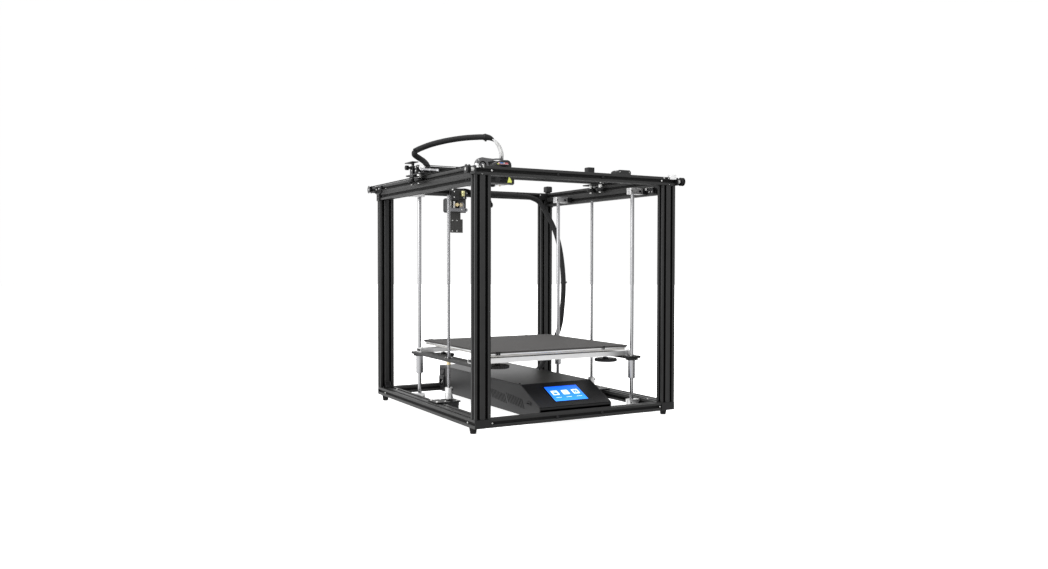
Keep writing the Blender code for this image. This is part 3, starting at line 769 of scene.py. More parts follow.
def add_guide_rods():
    for side in SIDES:
        x = mirrored(ROD_X, side)
        for end in ("front", "rear"):
            node = f"guide_rod_{end}_{side}"
            low, high = span_of(node)
            y = (low.y + high.y) / 2
            shaft = rod(5, "Z", (x, y), low.z + 2.5, ROD_TOP - 2.5, 48, 0.6)
            piece(f"rod_{end}_{side}", shaft, steel, replaces=[node])
            blocks, spacers, screws = [], [], []
            for z_low, z_high, near in ((low.z, low.z + 16, 40.4), (ROD_TOP - 16, ROD_TOP, 34)):
                if near < 40:
                    spacers.append(slab(20.4, 33.8, (y - 9, z_low + 0.5), (y + 9, z_high - 0.5), side))
                outline = rounded((min(mirrored(near, side), mirrored(73, side)), y - 9.5),
                                  (max(mirrored(near, side), mirrored(73, side)), y + 9.5), 1.5)
                clamp = prism(outline, "Z", z_low, z_high)
                slit = slab(66, 74, (y - 0.6, z_low - 1), (y + 0.6, z_high + 1), side)
                bore = rod(5.15, "Z", (x, y), z_low - 1, z_high + 1, 40, 0)
                blocks.append(carved(clamp, slit, bore))
                middle = (z_low + z_high) / 2
                for off in (-1, 1):
                    for along, radius in ((69.5, 2.0), (44, 3.4)):
                        screws.append(screw((mirrored(along, side), y + off * 9.3, middle),
                                            (0, off, 0), radius, 1.2))
            piece(f"rod_clamps_{end}_{side}", together(*blocks), aluminium,
                  bevel=0.5)
            piece(f"rod_clamp_spacer_{end}_{side}", together(*spacers), black_plate,
                  bevel=0.4)
            piece(f"rod_clamp_screws_{end}_{side}", together(*screws), black_oxide)


def motor(name, axis, centre, low, high, node, face_high=True, body="root"):
    """A square stepper motor: laminations between two dark end caps, with its screws."""
    cap = min(9.0, (high - low) * 0.24)
    half, cut = 20.9, 4.2

    def square(side, corner):
        inner = side - corner
        marks = [(-inner, -side), (inner, -side), (side, -inner), (side, inner),
                 (inner, side), (-inner, side), (-side, inner), (-side, -inner)]
        return [(centre[0] + u, centre[1] + v) for u, v in marks]

    stack = prism(square(half - 0.3, cut + 0.8), axis, low + cap, high - cap)
    piece(f"{name}_laminations", stack, laminations[axis], body, [node], 0.25)
    caps = together(prism(square(half, cut), axis, low, low + cap),
                    prism(square(half, cut), axis, high - cap, high))
    piece(f"{name}_end_caps", caps, cast_black, body, bevel=0.6)
    away = Vector((0, 0, 0))
    rear = low if face_high else high
    away["XYZ".index(axis)] = -1 if face_high else 1
    heads = []
    for u, v in MOTOR_HOLES:
        spot = point_on(axis, (centre[0] + u, centre[1] + v), rear) - away * 0.9
        heads.append(screw(spot, away, 2.2, 1.4))
    piece(f"{name}_screws", together(*heads), screw_steel, body)


def threaded(centre, radius, depth, low, high):
    """A screw thread whose rows of points follow its helix."""
    lead, starts, sides = 8.0, 4, 16
    pitch = lead / starts
    profile = [(0.0, radius), (0.28, radius), (0.5, radius - depth), (0.78, radius - depth)]
    first, last = math.floor((low - lead) / pitch), math.ceil(high / pitch)
    bm = bmesh.new()
    columns = []
    for s in range(sides + 1):
        angle = 2 * math.pi * s / sides
        column = []
        for turn in range(first, last + 1):
            for share, r in profile:
                z = (turn + share) * pitch + lead * s / sides
                z = min(max(z, low), high)
                column.append(bm.verts.new((centre[0] + r * math.cos(angle),
                                            centre[1] + r * math.sin(angle), z)))
        columns.append(column)
    for one, two in zip(columns, columns[1:]):
        for k in range(len(one) - 1):
            bm.faces.new((one[k], two[k], two[k + 1], one[k + 1]))
    bmesh.ops.remove_doubles(bm, verts=bm.verts, dist=0.02)
    bmesh.ops.dissolve_degenerate(bm, dist=0.02, edges=bm.edges)
    bmesh.ops.holes_fill(bm, edges=[e for e in bm.edges if e.is_boundary], sides=0)
    return solid(bm)


def add_z_drives():
    for side in SIDES:
        node = f"lead_screw_{side}"
        centre = (mirrored(SCREW_X, side), SCREW_Y)
        top = span_of(node)[1].z
        body = f"lead_screw_{side}_body"
        piece(f"lead_screw_thread_{side}", threaded(centre, 4.0, 0.9, 54, top - 1), steel, body,
              [node])
        profile = [(2.6, 26), (9.0, 26), (9.5, 26.5), (9.5, 38.2), (8.9, 38.6), (8.9, 39.6),
                   (9.5, 40), (9.5, 54.5), (9.0, 55), (4.1, 55)]
        coupling = turned(profile, "Z", centre, 48)
        slots = [block((centre[0] + 3, centre[1] - 0.6, z0), (centre[0] + 11, centre[1] + 0.6, z1))
                 for z0, z1 in ((24, 36), (43, 57))]
        coupling = carved(coupling, *slots)
        heads = [screw((centre[0] + 6.2, centre[1] - 7.4, z), (0, -1, 0), 1.9, 1.3, cap=True)
                 for z in (31, 49)]
        piece(f"coupling_{side}", coupling, aluminium, body, bevel=0.15)
        stub = rod(2.5, "Z", centre, 20.6, 27, 24)
        piece(f"coupling_screws_{side}", together(*heads, stub), black_oxide, body)

        motor(f"z_motor_{side}", "Z", centre, -11, PROFILE - 0.3, f"z_motor_{side}")
        low, high = span_of(f"z_motor_plate_{side}")
        plate = prism(rounded((low.x, low.y), (high.x, high.y), 4), "Z", low.z, high.z)
        plate = carved(plate, rod(11.3, "Z", centre, low.z - 1, high.z + 1, 48, 0))
        piece(f"z_plate_{side}", plate, black_plate,
              replaces=[f"z_motor_plate_{side}"], bevel=0.4)
        heads = [screw((centre[0] + u, centre[1] + v, high.z), (0, 0, 1), 2.9, 1.8)
                 for u, v in MOTOR_HOLES]
        heads += [screw((mirrored(25, side), SCREW_Y + v, high.z), (0, 0, 1), 4.2, 2.4)
                  for v in (-18, 18)]
        piece(f"z_plate_screws_{side}", together(*heads), screw_steel)


# ---------------------------------------------------------------- bed

BED_LOW, BED_HIGH = span_of("build_plate")
FRAME_LOW, FRAME_HIGH = span_of("bed_frame")
PLATE_TOP = 130.0
KNOB_X, KNOB_ROWS = 122, (125, 436)


def linear_bearing(centre, low, high):
    groove = 0.45
    profile = [(5.35, low), (9.0, low), (9.5, low + 0.5)]
    for z in (low + 5, high - 6.3):
        profile += [(9.5, z), (9.5 - groove, z + 0.05), (9.5 - groove, z + 1.25), (9.5, z + 1.3)]
    profile += [(9.5, high - 0.5), (9.0, high), (5.35, high)]
    return turned(profile, "Z", centre, 48)


def add_bed_frame():
    plates, bearings, seals, nuts, heads = [], [], [], [], []
    for side in SIDES:
        x = sorted((mirrored(42, side), mirrored(86, side)))
        plate = prism(rounded((x[0], FRAME_LOW.y), (x[1], FRAME_HIGH.y), 5), "Z",
                      PLATE_TOP - 6, PLATE_TOP)
        holes = [rod(7, "Z", (mirrored(ROD_X, side), y), 100, 140, 32, 0) for y in ROD_ROWS]
        holes.append(rod(5.2, "Z", (mirrored(SCREW_X, side), SCREW_Y), 100, 140, 32, 0))
        plates.append(carved(plate, *holes))
        for y in ROD_ROWS:
            centre = (mirrored(ROD_X, side), y)
            bearings.append(linear_bearing(centre, 73, 125))
            seals.append(pipe_ring(5.3, 8.4, "Z", centre, 72.4, 73.2))
            seals.append(turned([(9.6, 119), (15.5, 119), (16, 119.5), (16, 123.6), (9.6, 123.6)],
                                "Z", centre, 40))
            heads += [screw((centre[0] + u, centre[1] + v, PLATE_TOP), (0, 0, 1), 2.7, 1.6)
                      for u, v in ((-9.2, -9.2), (9.2, -9.2), (-9.2, 9.2), (9.2, 9.2))]
        nut = (mirrored(SCREW_X, side), SCREW_Y)
        nuts.append(turned([(4.3, 112), (5.0, 112), (5.3, 112.4), (5.3, 120.2), (11, 120.2),
                            (11, 123.7), (4.3, 123.7)], "Z", nut, 40))
        heads += [screw((nut[0] + 8 * math.cos(t), nut[1] + 8 * math.sin(t), PLATE_TOP),
                        (0, 0, 1), 1.9, 1.2) for t in (0.8, 2.4, 3.9, 5.5)]
    piece("bed_side_plates", together(*plates), black_plate, "bed", ["bed_frame"], 0.5)
    piece("linear_bearings", together(*bearings), steel, "bed")
    piece("bearing_flanges", together(*seals), black_oxide, "bed")
    piece("lead_screw_nuts", together(*nuts), brass, "bed", bevel=0.2)
    piece("bed_frame_screws", together(*heads), screw_steel, "bed")

    bars, heads = [], []
    for y in (106.5, 417.5):
        outline = [(y, 130.2), (y + 28, 130.2), (y + 28, 142), (y + 25.6, 142), (y + 25.6, 133),
                   (y + 2.4, 133), (y + 2.4, 142), (y, 142)]
        wall = prism(outline, "X", 48, WIDTH - 48)
        lid = block((48, y + 2.2, 139.8), (WIDTH - 48, y + 25.8, 141.8))
        bar = fused(wall, lid)
        bores = [rod(3.2, "Z", (mirrored(KNOB_X, s), y + 18.5), 125, 150, 24, 0) for s in SIDES]
        bars.append(carved(bar, *bores))
        heads += [screw((mirrored(56, s), y + 14, 141.8), (0, 0, 1), 4.2, 2.2) for s in SIDES]
    piece("bed_cross_bars", together(*bars), aluminium, "bed", bevel=0.3)
    piece("bed_cross_bar_screws", together(*heads), screw_steel, "bed")


def add_bed_plates():
    low, high = span_of("heated_plate")
    heater = prism(rounded((low.x, low.y), (high.x, high.y), 3), "Z", 151.4, high.z)
    piece("heater_plate", heater, aluminium, "bed", ["heated_plate"], 0.3)
    blanket = prism(rounded((low.x + 2, low.y + 1), (high.x - 2, high.y - 1), 5), "Z", low.z, 151.2)
    piece("heater_blanket", blanket, insulation, "bed", bevel=0.8)
    surface = prism(rounded((BED_LOW.x, BED_LOW.y), (BED_HIGH.x, BED_HIGH.y), 3.5), "Z",
                    BED_LOW.z, BED_HIGH.z)
    piece("print_plate", surface, print_surface, "bed", ["build_plate"], 0.5)

    clips, springs = [], []
    for x in (100, 106, 402):
        for y, away in ((BED_LOW.y, -1), (BED_HIGH.y, 1)):
            outline = [(y - 4 * away, BED_HIGH.z + 0.2), (y + 0.3 * away, BED_HIGH.z + 0.2),
                       (y + 0.3 * away, 152), (y - 1 * away, 151.2), (y + 1.1 * away, 150.8),
                       (y + 1.1 * away, BED_HIGH.z + 0.8), (y - 4 * away, BED_HIGH.z + 0.8)]
            clips.append(prism(outline, "X", x - 2.0, x + 2.0))
    piece("plate_clips", together(*clips), black_oxide, "bed", bevel=0.15)
    for side in SIDES:
        for y in KNOB_ROWS:
            coil = [(mirrored(KNOB_X, side) + 4.4 * math.cos(t / 12 * 2 * math.pi),
                     y + 4.4 * math.sin(t / 12 * 2 * math.pi), 142.7 + 3.6 * t / 42) for t in range(43)]
            springs.append(wire(coil, 0.55, 1.2, 8))
    piece("levelling_springs", together(*springs), screw_steel, "bed")


def rippled(centre, radius, share):
    """A round outline with ridges; share says how deep the dips between them are."""
    ridges, depth = 30, 1.3
    loop = []
    for k in range(ridges * 4):
        t = 2 * math.pi * k / (ridges * 4)
        r = radius - share * (0.5 + 0.5 * math.cos(ridges * t)) * depth
        loop.append((centre[0] + r * math.cos(t), centre[1] + r * math.sin(t)))
    return loop


def add_levelling_knobs():
    for end, y in zip(("front", "rear"), KNOB_ROWS):
        for side in SIDES:
            node = f"levelling_knob_{end}_{side}"
            body = f"knob_{end}_{side}"
            centre = (mirrored(KNOB_X, side), y)
            rows = [(20, 116.6, 0), (25.5, 116, 0), (27.4, 116.2, 0.4), (28.8, 117.4, 1),
                    (29, 118.6, 1), (29, 121.4, 1), (28.6, 122.8, 1), (27, 123.8, 0.4),
                    (24.6, 124, 0), (22.5, 122.6, 0), (9, 122.2, 0), (7.5, 123, 0), (6.2, 127, 0)]
            loops = [[(*p, z) for p in rippled(centre, radius, share)] for radius, z, share in rows]
            knob = carved(lofted(loops), rod(2.1, "Z", centre, 110, 130, 24, 0))
            piece(f"knob_{end}_{side}_wheel", knob, black_plastic, body, [node])
            stud = turned([(0, 116.8), (1.9, 116.8), (1.9, 146.2), (1.6, 146.5), (0, 146.5)],
                          "Z", centre, 24)
            lock = prism(circle(centre, 3.9, 6), "Z", 114.4, 116.6)
            piece(f"knob_{end}_{side}_stud", together(stud, lock), screw_steel, body,
                  bevel=0.15)


# ---------------------------------------------------------------- control box

BOX_LOW, BOX_HIGH = span_of("control_box")
PANEL_FOOT = Vector(((BOX_LOW.x + BOX_HIGH.x) / 2, BOX_LOW.y, 31.0))
PANEL_HEAD = Vector((PANEL_FOOT.x, 112.0, BOX_HIGH.z))
SHEET = 1.6


def panel_matrix():
    """Places things on the sloped front: X right, Y up the slope, Z out of the panel."""
    up = (PANEL_HEAD - PANEL_FOOT).normalized()
    right = Vector((1, 0, 0))
    turn = Matrix((right, up, right.cross(up))).transposed().to_4x4()
    turn.translation = (PANEL_FOOT + PANEL_HEAD) / 2
    return turn


def on_panel(shape):
    return moved(shape, panel_matrix())


def slanted_slot(x_low, x_high, y, z, length, width, lean):
    """A round-ended slot through a side wall, leaning in the wall's plane."""
    outline = rounded((-length / 2, -width / 2), (length / 2, width / 2), width / 2 * 0.98, 4)
    c, s = math.cos(lean), math.sin(lean)
    outline = [(y + c * u - s * v, z + s * u + c * v) for u, v in outline]
    return prism(outline, "X", x_low, x_high)


def add_control_box():
    left, right = BOX_LOW.x, BOX_HIGH.x
    front, rear, bottom, top = BOX_LOW.y, BOX_HIGH.y, BOX_LOW.z, BOX_HIGH.z - SHEET - 0.3
    shell = prism([(rear, bottom), (rear, top), (PANEL_HEAD.y + 2, top), (PANEL_HEAD.y, top + 1),
                   (front, PANEL_FOOT.z - 2), (front, bottom)], "X", left, right)
    inside = prism([(rear - SHEET, bottom + SHEET), (rear - SHEET, top + 9), (PANEL_HEAD.y, top + 9),
                    (front + SHEET, PANEL_FOOT.z - 4), (front + SHEET, bottom + SHEET)],
                   "X", left + SHEET, right - SHEET)
    inlet = block((left - 3, 552.5, 13.5), (left + 5, 583.5, 43.5))
    switch = block((left - 3, 555, 47), (left + 5, 581, 65))
    card = prism(rounded((62, 31), (80, 37), 2.5), "X", left - 3, left + 5)
    shell = carved(shell, inside, inlet, switch, card)
    vents = []
    lean = math.radians(62)
    for start, end in (((262, 34), (188, 17)), ((176, 33), (100, 16))):
        for k in range(10):
            share = k / 9
            y = start[0] + (end[0] - start[0]) * share
            z = start[1] + 2 + (end[1] - start[1]) * 0.35 * share
            vents.append(slanted_slot(left - 3, left + 5, y, z, 26, 2.6, lean))
            vents.append(slanted_slot(right - 5, right + 3, y, z, 26, 2.6, lean))
    grille = [prism(rounded((x, 14), (x + 3, 54), 1.4, 3), "Y", rear - 5, rear + 3)
              for x in range(214, 262, 6)]
    shell = carved(shell, *vents, *grille)
    piece("case_shell", shell, powder_coat, replaces=["control_box"],
          bevel=0.35)
    # Painted shade: a near-black block inside the case, seen through the vents, stands in for the shade
    # in there.
    case_shade_fill = block((left + SHEET + 1.2, front + 8, bottom + SHEET + 0.5),
                  (right - SHEET - 1.2, rear - SHEET - 1.5, 27))
    piece("case_painted_shade_block", case_shade_fill, painted_case_shade, bevel=0.3)

    lid = prism(rounded((left, PANEL_HEAD.y + 0.6), (right, rear), 1.0), "Z", BOX_HIGH.z - SHEET,
                BOX_HIGH.z)
    piece("case_lid", lid, powder_coat, replaces=["control_box_lid"],
          bevel=0.5)
    heads = [screw((x, y, BOX_HIGH.z), (0, 0, 1), 2.6, 1.4)
             for x in (left + 8, right - 8) for y in (130, 350, rear - 12)]
    heads += [screw((x, rear, z), (0, 1, 0), 2.6, 1.4) for x in (left + 10, right - 10)
              for z in (12, 62)]
    piece("case_screws", together(*heads), black_oxide)


def add_panel():
    half_width = (BOX_HIGH.x - BOX_LOW.x) / 2
    half_height = (PANEL_HEAD - PANEL_FOOT).length / 2
    outline = rounded((-half_width, -half_height), (half_width, half_height), 3.0)
    face = prism(outline, "Z", -1.8, 0.0)
    face = carved(face, prism(rounded((-49.3, -33.8), (49.3, 33.8), 1.2), "Z", -6, 6))
    piece("front_panel", on_panel(face), satin_black, bevel=0.9)
    front = BOX_LOW.y
    lip = prism([(front, 12), (front, 24.5), (front + 1.0, 28), (front + 3.0, 30.6), (front + 6, 31.6),
                 (front + 6, 12)], "X", BOX_LOW.x + 1.5, BOX_HIGH.x - 1.5)
    piece("panel_lip", lip, satin_black, bevel=1.4)
    # Painted highlight: thin metallic strips along the panel's left and lower edges stand in for the
    # bright lines on its bevel.
    edge = [prism(rounded((-half_width + 0.2, -half_height + 1), (-half_width + 1.5, half_height - 1),
                          0.6), "Z", 0.02, 0.5),
            prism(rounded((-half_width + 2, -half_height + 0.2), (half_width - 26, -half_height + 1.1),
                          0.4), "Z", 0.02, 0.4)]
    piece("panel_edge_painted_highlight", on_panel(together(*edge)), dark_steel)

    glass = prism(rounded((-49, -33.5), (49, 33.5), 1.0), "Z", -3, 0.4)
    piece("screen_glass", on_panel(glass), gloss_black, replaces=["touchscreen"],
          bevel=0.2)
    picture = prism(rounded((-46, -31), (46, 31), 0.6), "Z", 0.42, 0.55)
    piece("screen_picture", on_panel(picture), screen_picture)
    icons = []
    for k, across in enumerate((-29, 0, 29)):
        low, high = (across - 9.2, -6), (across + 9.2, 13)
        tile = prism(rounded(low, high, 2.6), "Z", 0.56, 0.75)
        marks = [[rounded((across - 5.2, -2), (across + 5.2, 5), 1.0),
                  rounded((across - 3.0, 7.2), (across + 3.0, 9.6), 0.8)],
                 [rounded((across - 6.4, y), (across + 6.4, y + 1.8), 0.8) for y in (-2.4, 2.6, 7.6)],
                 [circle((across, 3.5), 5.8, 24)]][k]
        tile = carved(tile, *[prism(mark, "Z", -0.2, 2) for mark in marks])
        icons.append(tile)
    icons.append(prism(circle((29, 3.5), 2.2, 16), "Z", 0.56, 0.75))
    icons += [prism(rounded((along - 7.5, -17.2), (along + 7.5, -15.8), 0.5), "Z", 0.56, 0.7)
              for along in (-29, 0, 29)]
    piece("screen_icons", on_panel(together(*icons)), screen_white)


def add_box_fittings():
    left = BOX_LOW.x
    low, high = span_of("power_inlet")
    shell = carved(prism(rounded((low.y, low.z), (high.y, high.z), 2), "X", low.x, low.x + 24),
                   prism(rounded((557, 18), (579, 36), 4), "X", low.x - 2, low.x + 20))
    flange = carved(prism(rounded((550, 12), (586, 45), 3), "X", left - 2.4, left - 0.1),
                    prism(rounded((556, 17), (580, 37), 4), "X", left - 9, left + 9))
    piece("inlet_socket", fused(shell, flange), black_plastic,
          replaces=["power_inlet"], bevel=0.4)
    pins = [block((left - 1, y - 1.1, z - 3), (left + 14, y + 1.1, z + 3))
            for y, z in ((561.5, 25), (574.5, 25), (568, 30))]
    piece("inlet_pins", together(*pins), screw_steel, bevel=0.4)

    pivot = (left + 2, 56.0)
    arc = [(-6.0, -4.6), (-4.6, -6.9), (5, -5), (5, 5), (-3.3, 7.0), (-3.9, 3.6), (-4.3, 0.2),
           (-5.2, -3.0)]
    rocker = prism([(pivot[0] + u, pivot[1] + v) for u, v in arc], "Y", 557.2, 578.8)
    piece("switch_cap", rocker, black_plastic, "switch_rocker", ["power_switch"],
          0.5)
    bezel = carved(prism(rounded((552, 44.6), (584, 67.4), 2), "X", left - 1.8, left - 0.1),
                   prism(rounded((555.4, 47.4), (580.6, 64.6), 1), "X", left - 5, left + 5))
    piece("switch_bezel", bezel, black_plastic, bevel=0.3)
    low, high = span_of("power_supply")
    case = prism(rounded((low.x, low.z), (high.x, high.z), 2), "Y", low.y, high.y)
    piece("supply_case", case, aluminium, replaces=["power_supply"], bevel=0.5)
    reader = carved(prism(rounded((60.5, 29.5), (81.5, 38.5), 3), "X", left - 1.4, left + 8),
                    prism(rounded((63, 33), (79, 35), 0.8), "X", left - 3, left + 6))
    piece("card_reader", reader, black_plastic, bevel=0.35)


# ---------------------------------------------------------------- Y drive

DRIVE_Z = HEIGHT - PROFILE / 2
SHAFT_Y, IDLER_Y = DEPTH + 9.5, -1.5
BELT_NEAR, BELT_FAR = 15.5, 21.5
BELT_RADIUS = 6.3  # the inner face of the long belts' runs, over the pulleys' rims


def outward(x, side):
    return -x if side == "left" else WIDTH + x


def flanged_pulley(side, centre, bore, hub):
    """A toothed pulley between two flanges; hub tells if it has a clamping hub."""
    def run(near, far):
        return sorted((outward(near, side), outward(far, side)))

    shapes = [toothed_rim("X", centre, BELT_RADIUS - 0.05, 20, *run(BELT_NEAR, BELT_FAR))]
    for near in (BELT_NEAR - 1.2, BELT_FAR):
        low, high = run(near, near + 1.2)
        shapes.append(turned([(bore, low), (9.9, low), (10.5, low + 0.3), (10.5, high - 0.3),
                              (9.9, high), (bore, high)], "X", centre, 48))
    if hub:
        low, high = run(5, BELT_NEAR - 1.2)
        shapes.append(turned([(bore, low), (8.6, low), (9.2, low + 0.6), (9.2, high), (bore, high)],
                             "X", centre, 40))
        shapes.append(screw((outward(9, side), centre[0], centre[1] + 9.0), (0, 0, 1), 1.6, 0.6))
    return shapes


def add_y_drive():
    centre = (SHAFT_Y, DRIVE_Z)
    low, high = span_of("y_drive_shaft")
    shaft = rod(3, "X", centre, low.x, high.x, 32, 0.4)
    piece("drive_shaft", shaft, steel, "y_shaft", ["y_drive_shaft"])
    pulleys = [shape for side in SIDES for shape in flanged_pulley(side, centre, 3.05, True)]
    pulleys.append(toothed_rim("X", centre, 8.0, 26, 343.6, 352.4))
    pulleys += [pipe_ring(3.05, 9.4, "X", centre, x, x + 0.9) for x in (342.6, 352.5)]
    piece("drive_pulleys", together(*pulleys), dark_steel, "y_shaft")
    for side in SIDES:
        x = sorted((outward(BELT_NEAR + 0.25, side), outward(BELT_FAR - 0.25, side)))
        loop = belt("X", centre, BELT_RADIUS, (IDLER_Y, DRIVE_Z), BELT_RADIUS, *x)
        piece(f"y_belt_{side}", loop, belt_rubber, angle=60)
        shapes = flanged_pulley(side, (IDLER_Y, DRIVE_Z), 2.95, False)
        piece(f"idler_roller_{side}", together(*shapes), black_plastic, f"idler_{side}",
              [f"front_idler_{side}"])
        add_idler_bracket(side)
        add_shaft_bracket(side)

    motor_centre = (600, HEIGHT - PROFILE - 0.3 - 21)
    motor("y_motor", "X", motor_centre, 296, 336, "y_motor")
    pinion = together(toothed_rim("X", motor_centre, 6.0, 20, 343.6, 352.4),
                      rod(2.5, "X", motor_centre, 336, 353, 24),
                      pipe_ring(2.5, 7.4, "X", motor_centre, 342.6, 343.5),
                      pipe_ring(2.5, 7.4, "X", motor_centre, 352.5, 353.4))
    piece("y_motor_pinion", pinion, dark_steel)
    short = belt("X", centre, 7.7, motor_centre, 5.7, 344.6, 351.4)
    piece("y_motor_belt", short, belt_rubber, angle=60)


def add_idler_bracket(side):
    """A dark cheek along the rail's side, an aluminium block on its corner, a stop and the pin."""
    out = (-1, 0, 0) if side == "left" else (1, 0, 0)
    x = sorted((outward(0.3, side), outward(3.3, side)))
    cheek = prism([(-7, 562), (20, 562), (24, 566), (24, 578), (22, 580), (-6, 580), (-9, 577),
                   (-9, 564)], "X", *x)
    piece(f"idler_cheek_{side}", cheek, black_plate,
          replaces=[f"idler_bracket_{side}"], bevel=0.4)
    inner, top, stop_x = (7.0, 584.0, (8, 13)) if side == "left" else (21.0, 587.0, (530, 535))
    x = sorted((mirrored(0.5, side), mirrored(inner, side)))
    corner = prism([(-5.4, 575), (-0.3, 575), (-0.3, 581.3), (4, 581.3), (4, top), (-4, top),
                    (-5.4, top - 1.4)], "X", *x)
    corner = carved(corner, rod(1.8, "Y", (mirrored(4, side), 579), -6, -3.6, 24, 0))
    piece(f"idler_corner_{side}", corner, aluminium, bevel=0.7)
    stop = block((stop_x[0], -4.6, 575), (stop_x[1], -0.3, 580.6))
    bolts = [screw((mirrored(inner + 3.5, side), -4.6, 577.6), (0, -1, 0), 1.9, 1.0),
             screw((mirrored(inner + 14, side), -0.2, 578), (0, -1, 0), 2.2, 1.4),
             screw((mirrored(3.5, side), -0.4, top), (0, 0, 1), 2.0, 1.4)]
    piece(f"idler_stop_{side}", stop, black_plate, bevel=0.4)
    piece(f"idler_bolts_{side}", together(*bolts), screw_steel)
    centre = (IDLER_Y, DRIVE_Z)
    pin = rod(2.5, "X", centre, *sorted((outward(3.4, side), outward(23.8, side))), 32)
    collar = pipe_ring(2.5, 5, "X", centre, *sorted((outward(3.4, side), outward(12.0, side))))
    nut = prism(circle(centre, 4.0, 6), "X", *sorted((outward(22.9, side), outward(23.9, side))))
    shapes = [pin, collar, nut]
    shapes += [screw((outward(3.3, side), 16, z), out, 2.2, 1.3) for z in (566.5, 575.5)]
    piece(f"idler_pin_{side}", together(*shapes), screw_steel)


def add_shaft_bracket(side):
    out = (-1, 0, 0) if side == "left" else (1, 0, 0)
    x = sorted((outward(0.3, side), outward(3.3, side)))
    outline = [(DEPTH - 36, 561), (DEPTH - 21, 557), (DEPTH - 21, 539), (DEPTH - 1, 539),
               (DEPTH - 1, 557), (DEPTH + 15, 562), (DEPTH + 15, 580), (DEPTH - 36, 580)]
    plate = carved(prism(outline, "X", *x), rod(3.8, "X", (SHAFT_Y, DRIVE_Z), x[0] - 1, x[1] + 1))
    piece(f"shaft_plate_{side}", plate, black_plate,
          replaces=[f"shaft_bracket_{side}"], bevel=0.5)
    seat = turned([(3.2, 0), (7.5, 0), (8, 0.4), (8, 1.2), (3.2, 1.2)], "Z", (0, 0), 40)
    seat = moved(seat, facing((outward(3.3, side), SHAFT_Y, DRIVE_Z), out))
    piece(f"shaft_bearing_seat_{side}", seat, black_oxide)
    heads = [screw((outward(3.3, side), y, z), out, 2.5, 1.5)
             for y, z in ((DEPTH + 0.7, 571), (DEPTH - 20.1, 571.5))]
    dark = [screw((outward(3.3, side), DEPTH - 11, z), out, 2.8, 1.5) for z in (545, 552)]
    piece(f"shaft_plate_screws_{side}", together(*heads), screw_steel)
    piece(f"shaft_plate_bolts_{side}", together(*dark), black_oxide)


# ---------------------------------------------------------------- gantry

BEAM_LOW, BEAM_HIGH = span_of("gantry_beam")
BEAM_Y = (BEAM_LOW.y + BEAM_HIGH.y) / 2
DECK_LOW, DECK_HIGH = HEIGHT + 3.7, HEIGHT + 6.7
MOTOR_X, MOTOR_Z = WIDTH + 22.0, BEAM_HIGH.z - 5.7


def v_wheel(axis, centre, middle):
    """A V-edged wheel with its bearing: the tyre and the steel inside it."""
    marks = [(5.6, -4.2), (8.0, -4.2), (8.2, -5.1), (9.2, -5.1), (9.5, -4.9), (11.8, -2.6), (12, -2.3)]
    profile = marks + [(r, -a) for r, a in reversed(marks)]
    tyre = turned([(r, middle + a) for r, a in profile], axis, centre, 56)
    bearing = pipe_ring(2.5, 5.5, axis, centre, middle - 4.6, middle + 4.6)
    return tyre, bearing


def add_y_carriages():
    """The deck plates and their V-wheels. The left deck reaches less far out than its CAD solid."""
    for side in SIDES:
        near = 262 if side == "left" else 278
        x = sorted((mirrored(-17 if side == "left" else -24, side), mirrored(40, side)))
        deck = prism(rounded((x[0], near), (x[1], 362), 4), "Z", DECK_LOW, DECK_HIGH)
        piece(f"y_deck_{side}", deck, black_plate, "gantry",
              [f"y_carriage_{side}"], 0.4)
        tyres, metal, heads = [], [], []
        for along in (-10.8, 30.8):
            for y in (285, 330):
                centre = (mirrored(along, side), y)
                tyre, bearing = v_wheel("Z", centre, DRIVE_Z)
                tyres.append(tyre)
                metal += [bearing, prism(circle(centre, 5.6, 6), "Z", DRIVE_Z + 5.2, DRIVE_Z + 9.4),
                          turned([(0, DRIVE_Z + 9.5), (6.2, DRIVE_Z + 9.5), (6.2, DECK_LOW - 0.4),
                                  (5.6, DECK_LOW), (0, DECK_LOW)], "Z", centre, 32),
                          rod(2.4, "Z", centre, DRIVE_Z - 8, DECK_HIGH, 20),
                          prism(circle(centre, 4.6, 6), "Z", DRIVE_Z - 9.4, DRIVE_Z - 4.8)]
                heads.append(screw((*centre, DECK_HIGH), (0, 0, 1), 3.4, 2.2))
        heads += [screw((mirrored(x, side), BEAM_Y + v, DECK_HIGH), (0, 0, 1), 2.8, 1.8)
                  for x in (2, 20) for v in (-22, 22)]
        piece(f"y_wheels_{side}", together(*tyres), black_plastic, "gantry")
        piece(f"y_wheel_bearings_{side}", together(*metal), screw_steel, "gantry",
              bevel=0.2)
        piece(f"y_deck_screws_{side}", together(*heads), screw_steel, "gantry")
        x = sorted((outward(12.5, side), outward(22.5, side)))
        clamp = block((x[0], 300, DRIVE_Z + BELT_RADIUS + 1.5), (x[1], 322, DECK_LOW))
        piece(f"y_belt_clamp_{side}", clamp, black_plastic, "gantry", bevel=0.5)


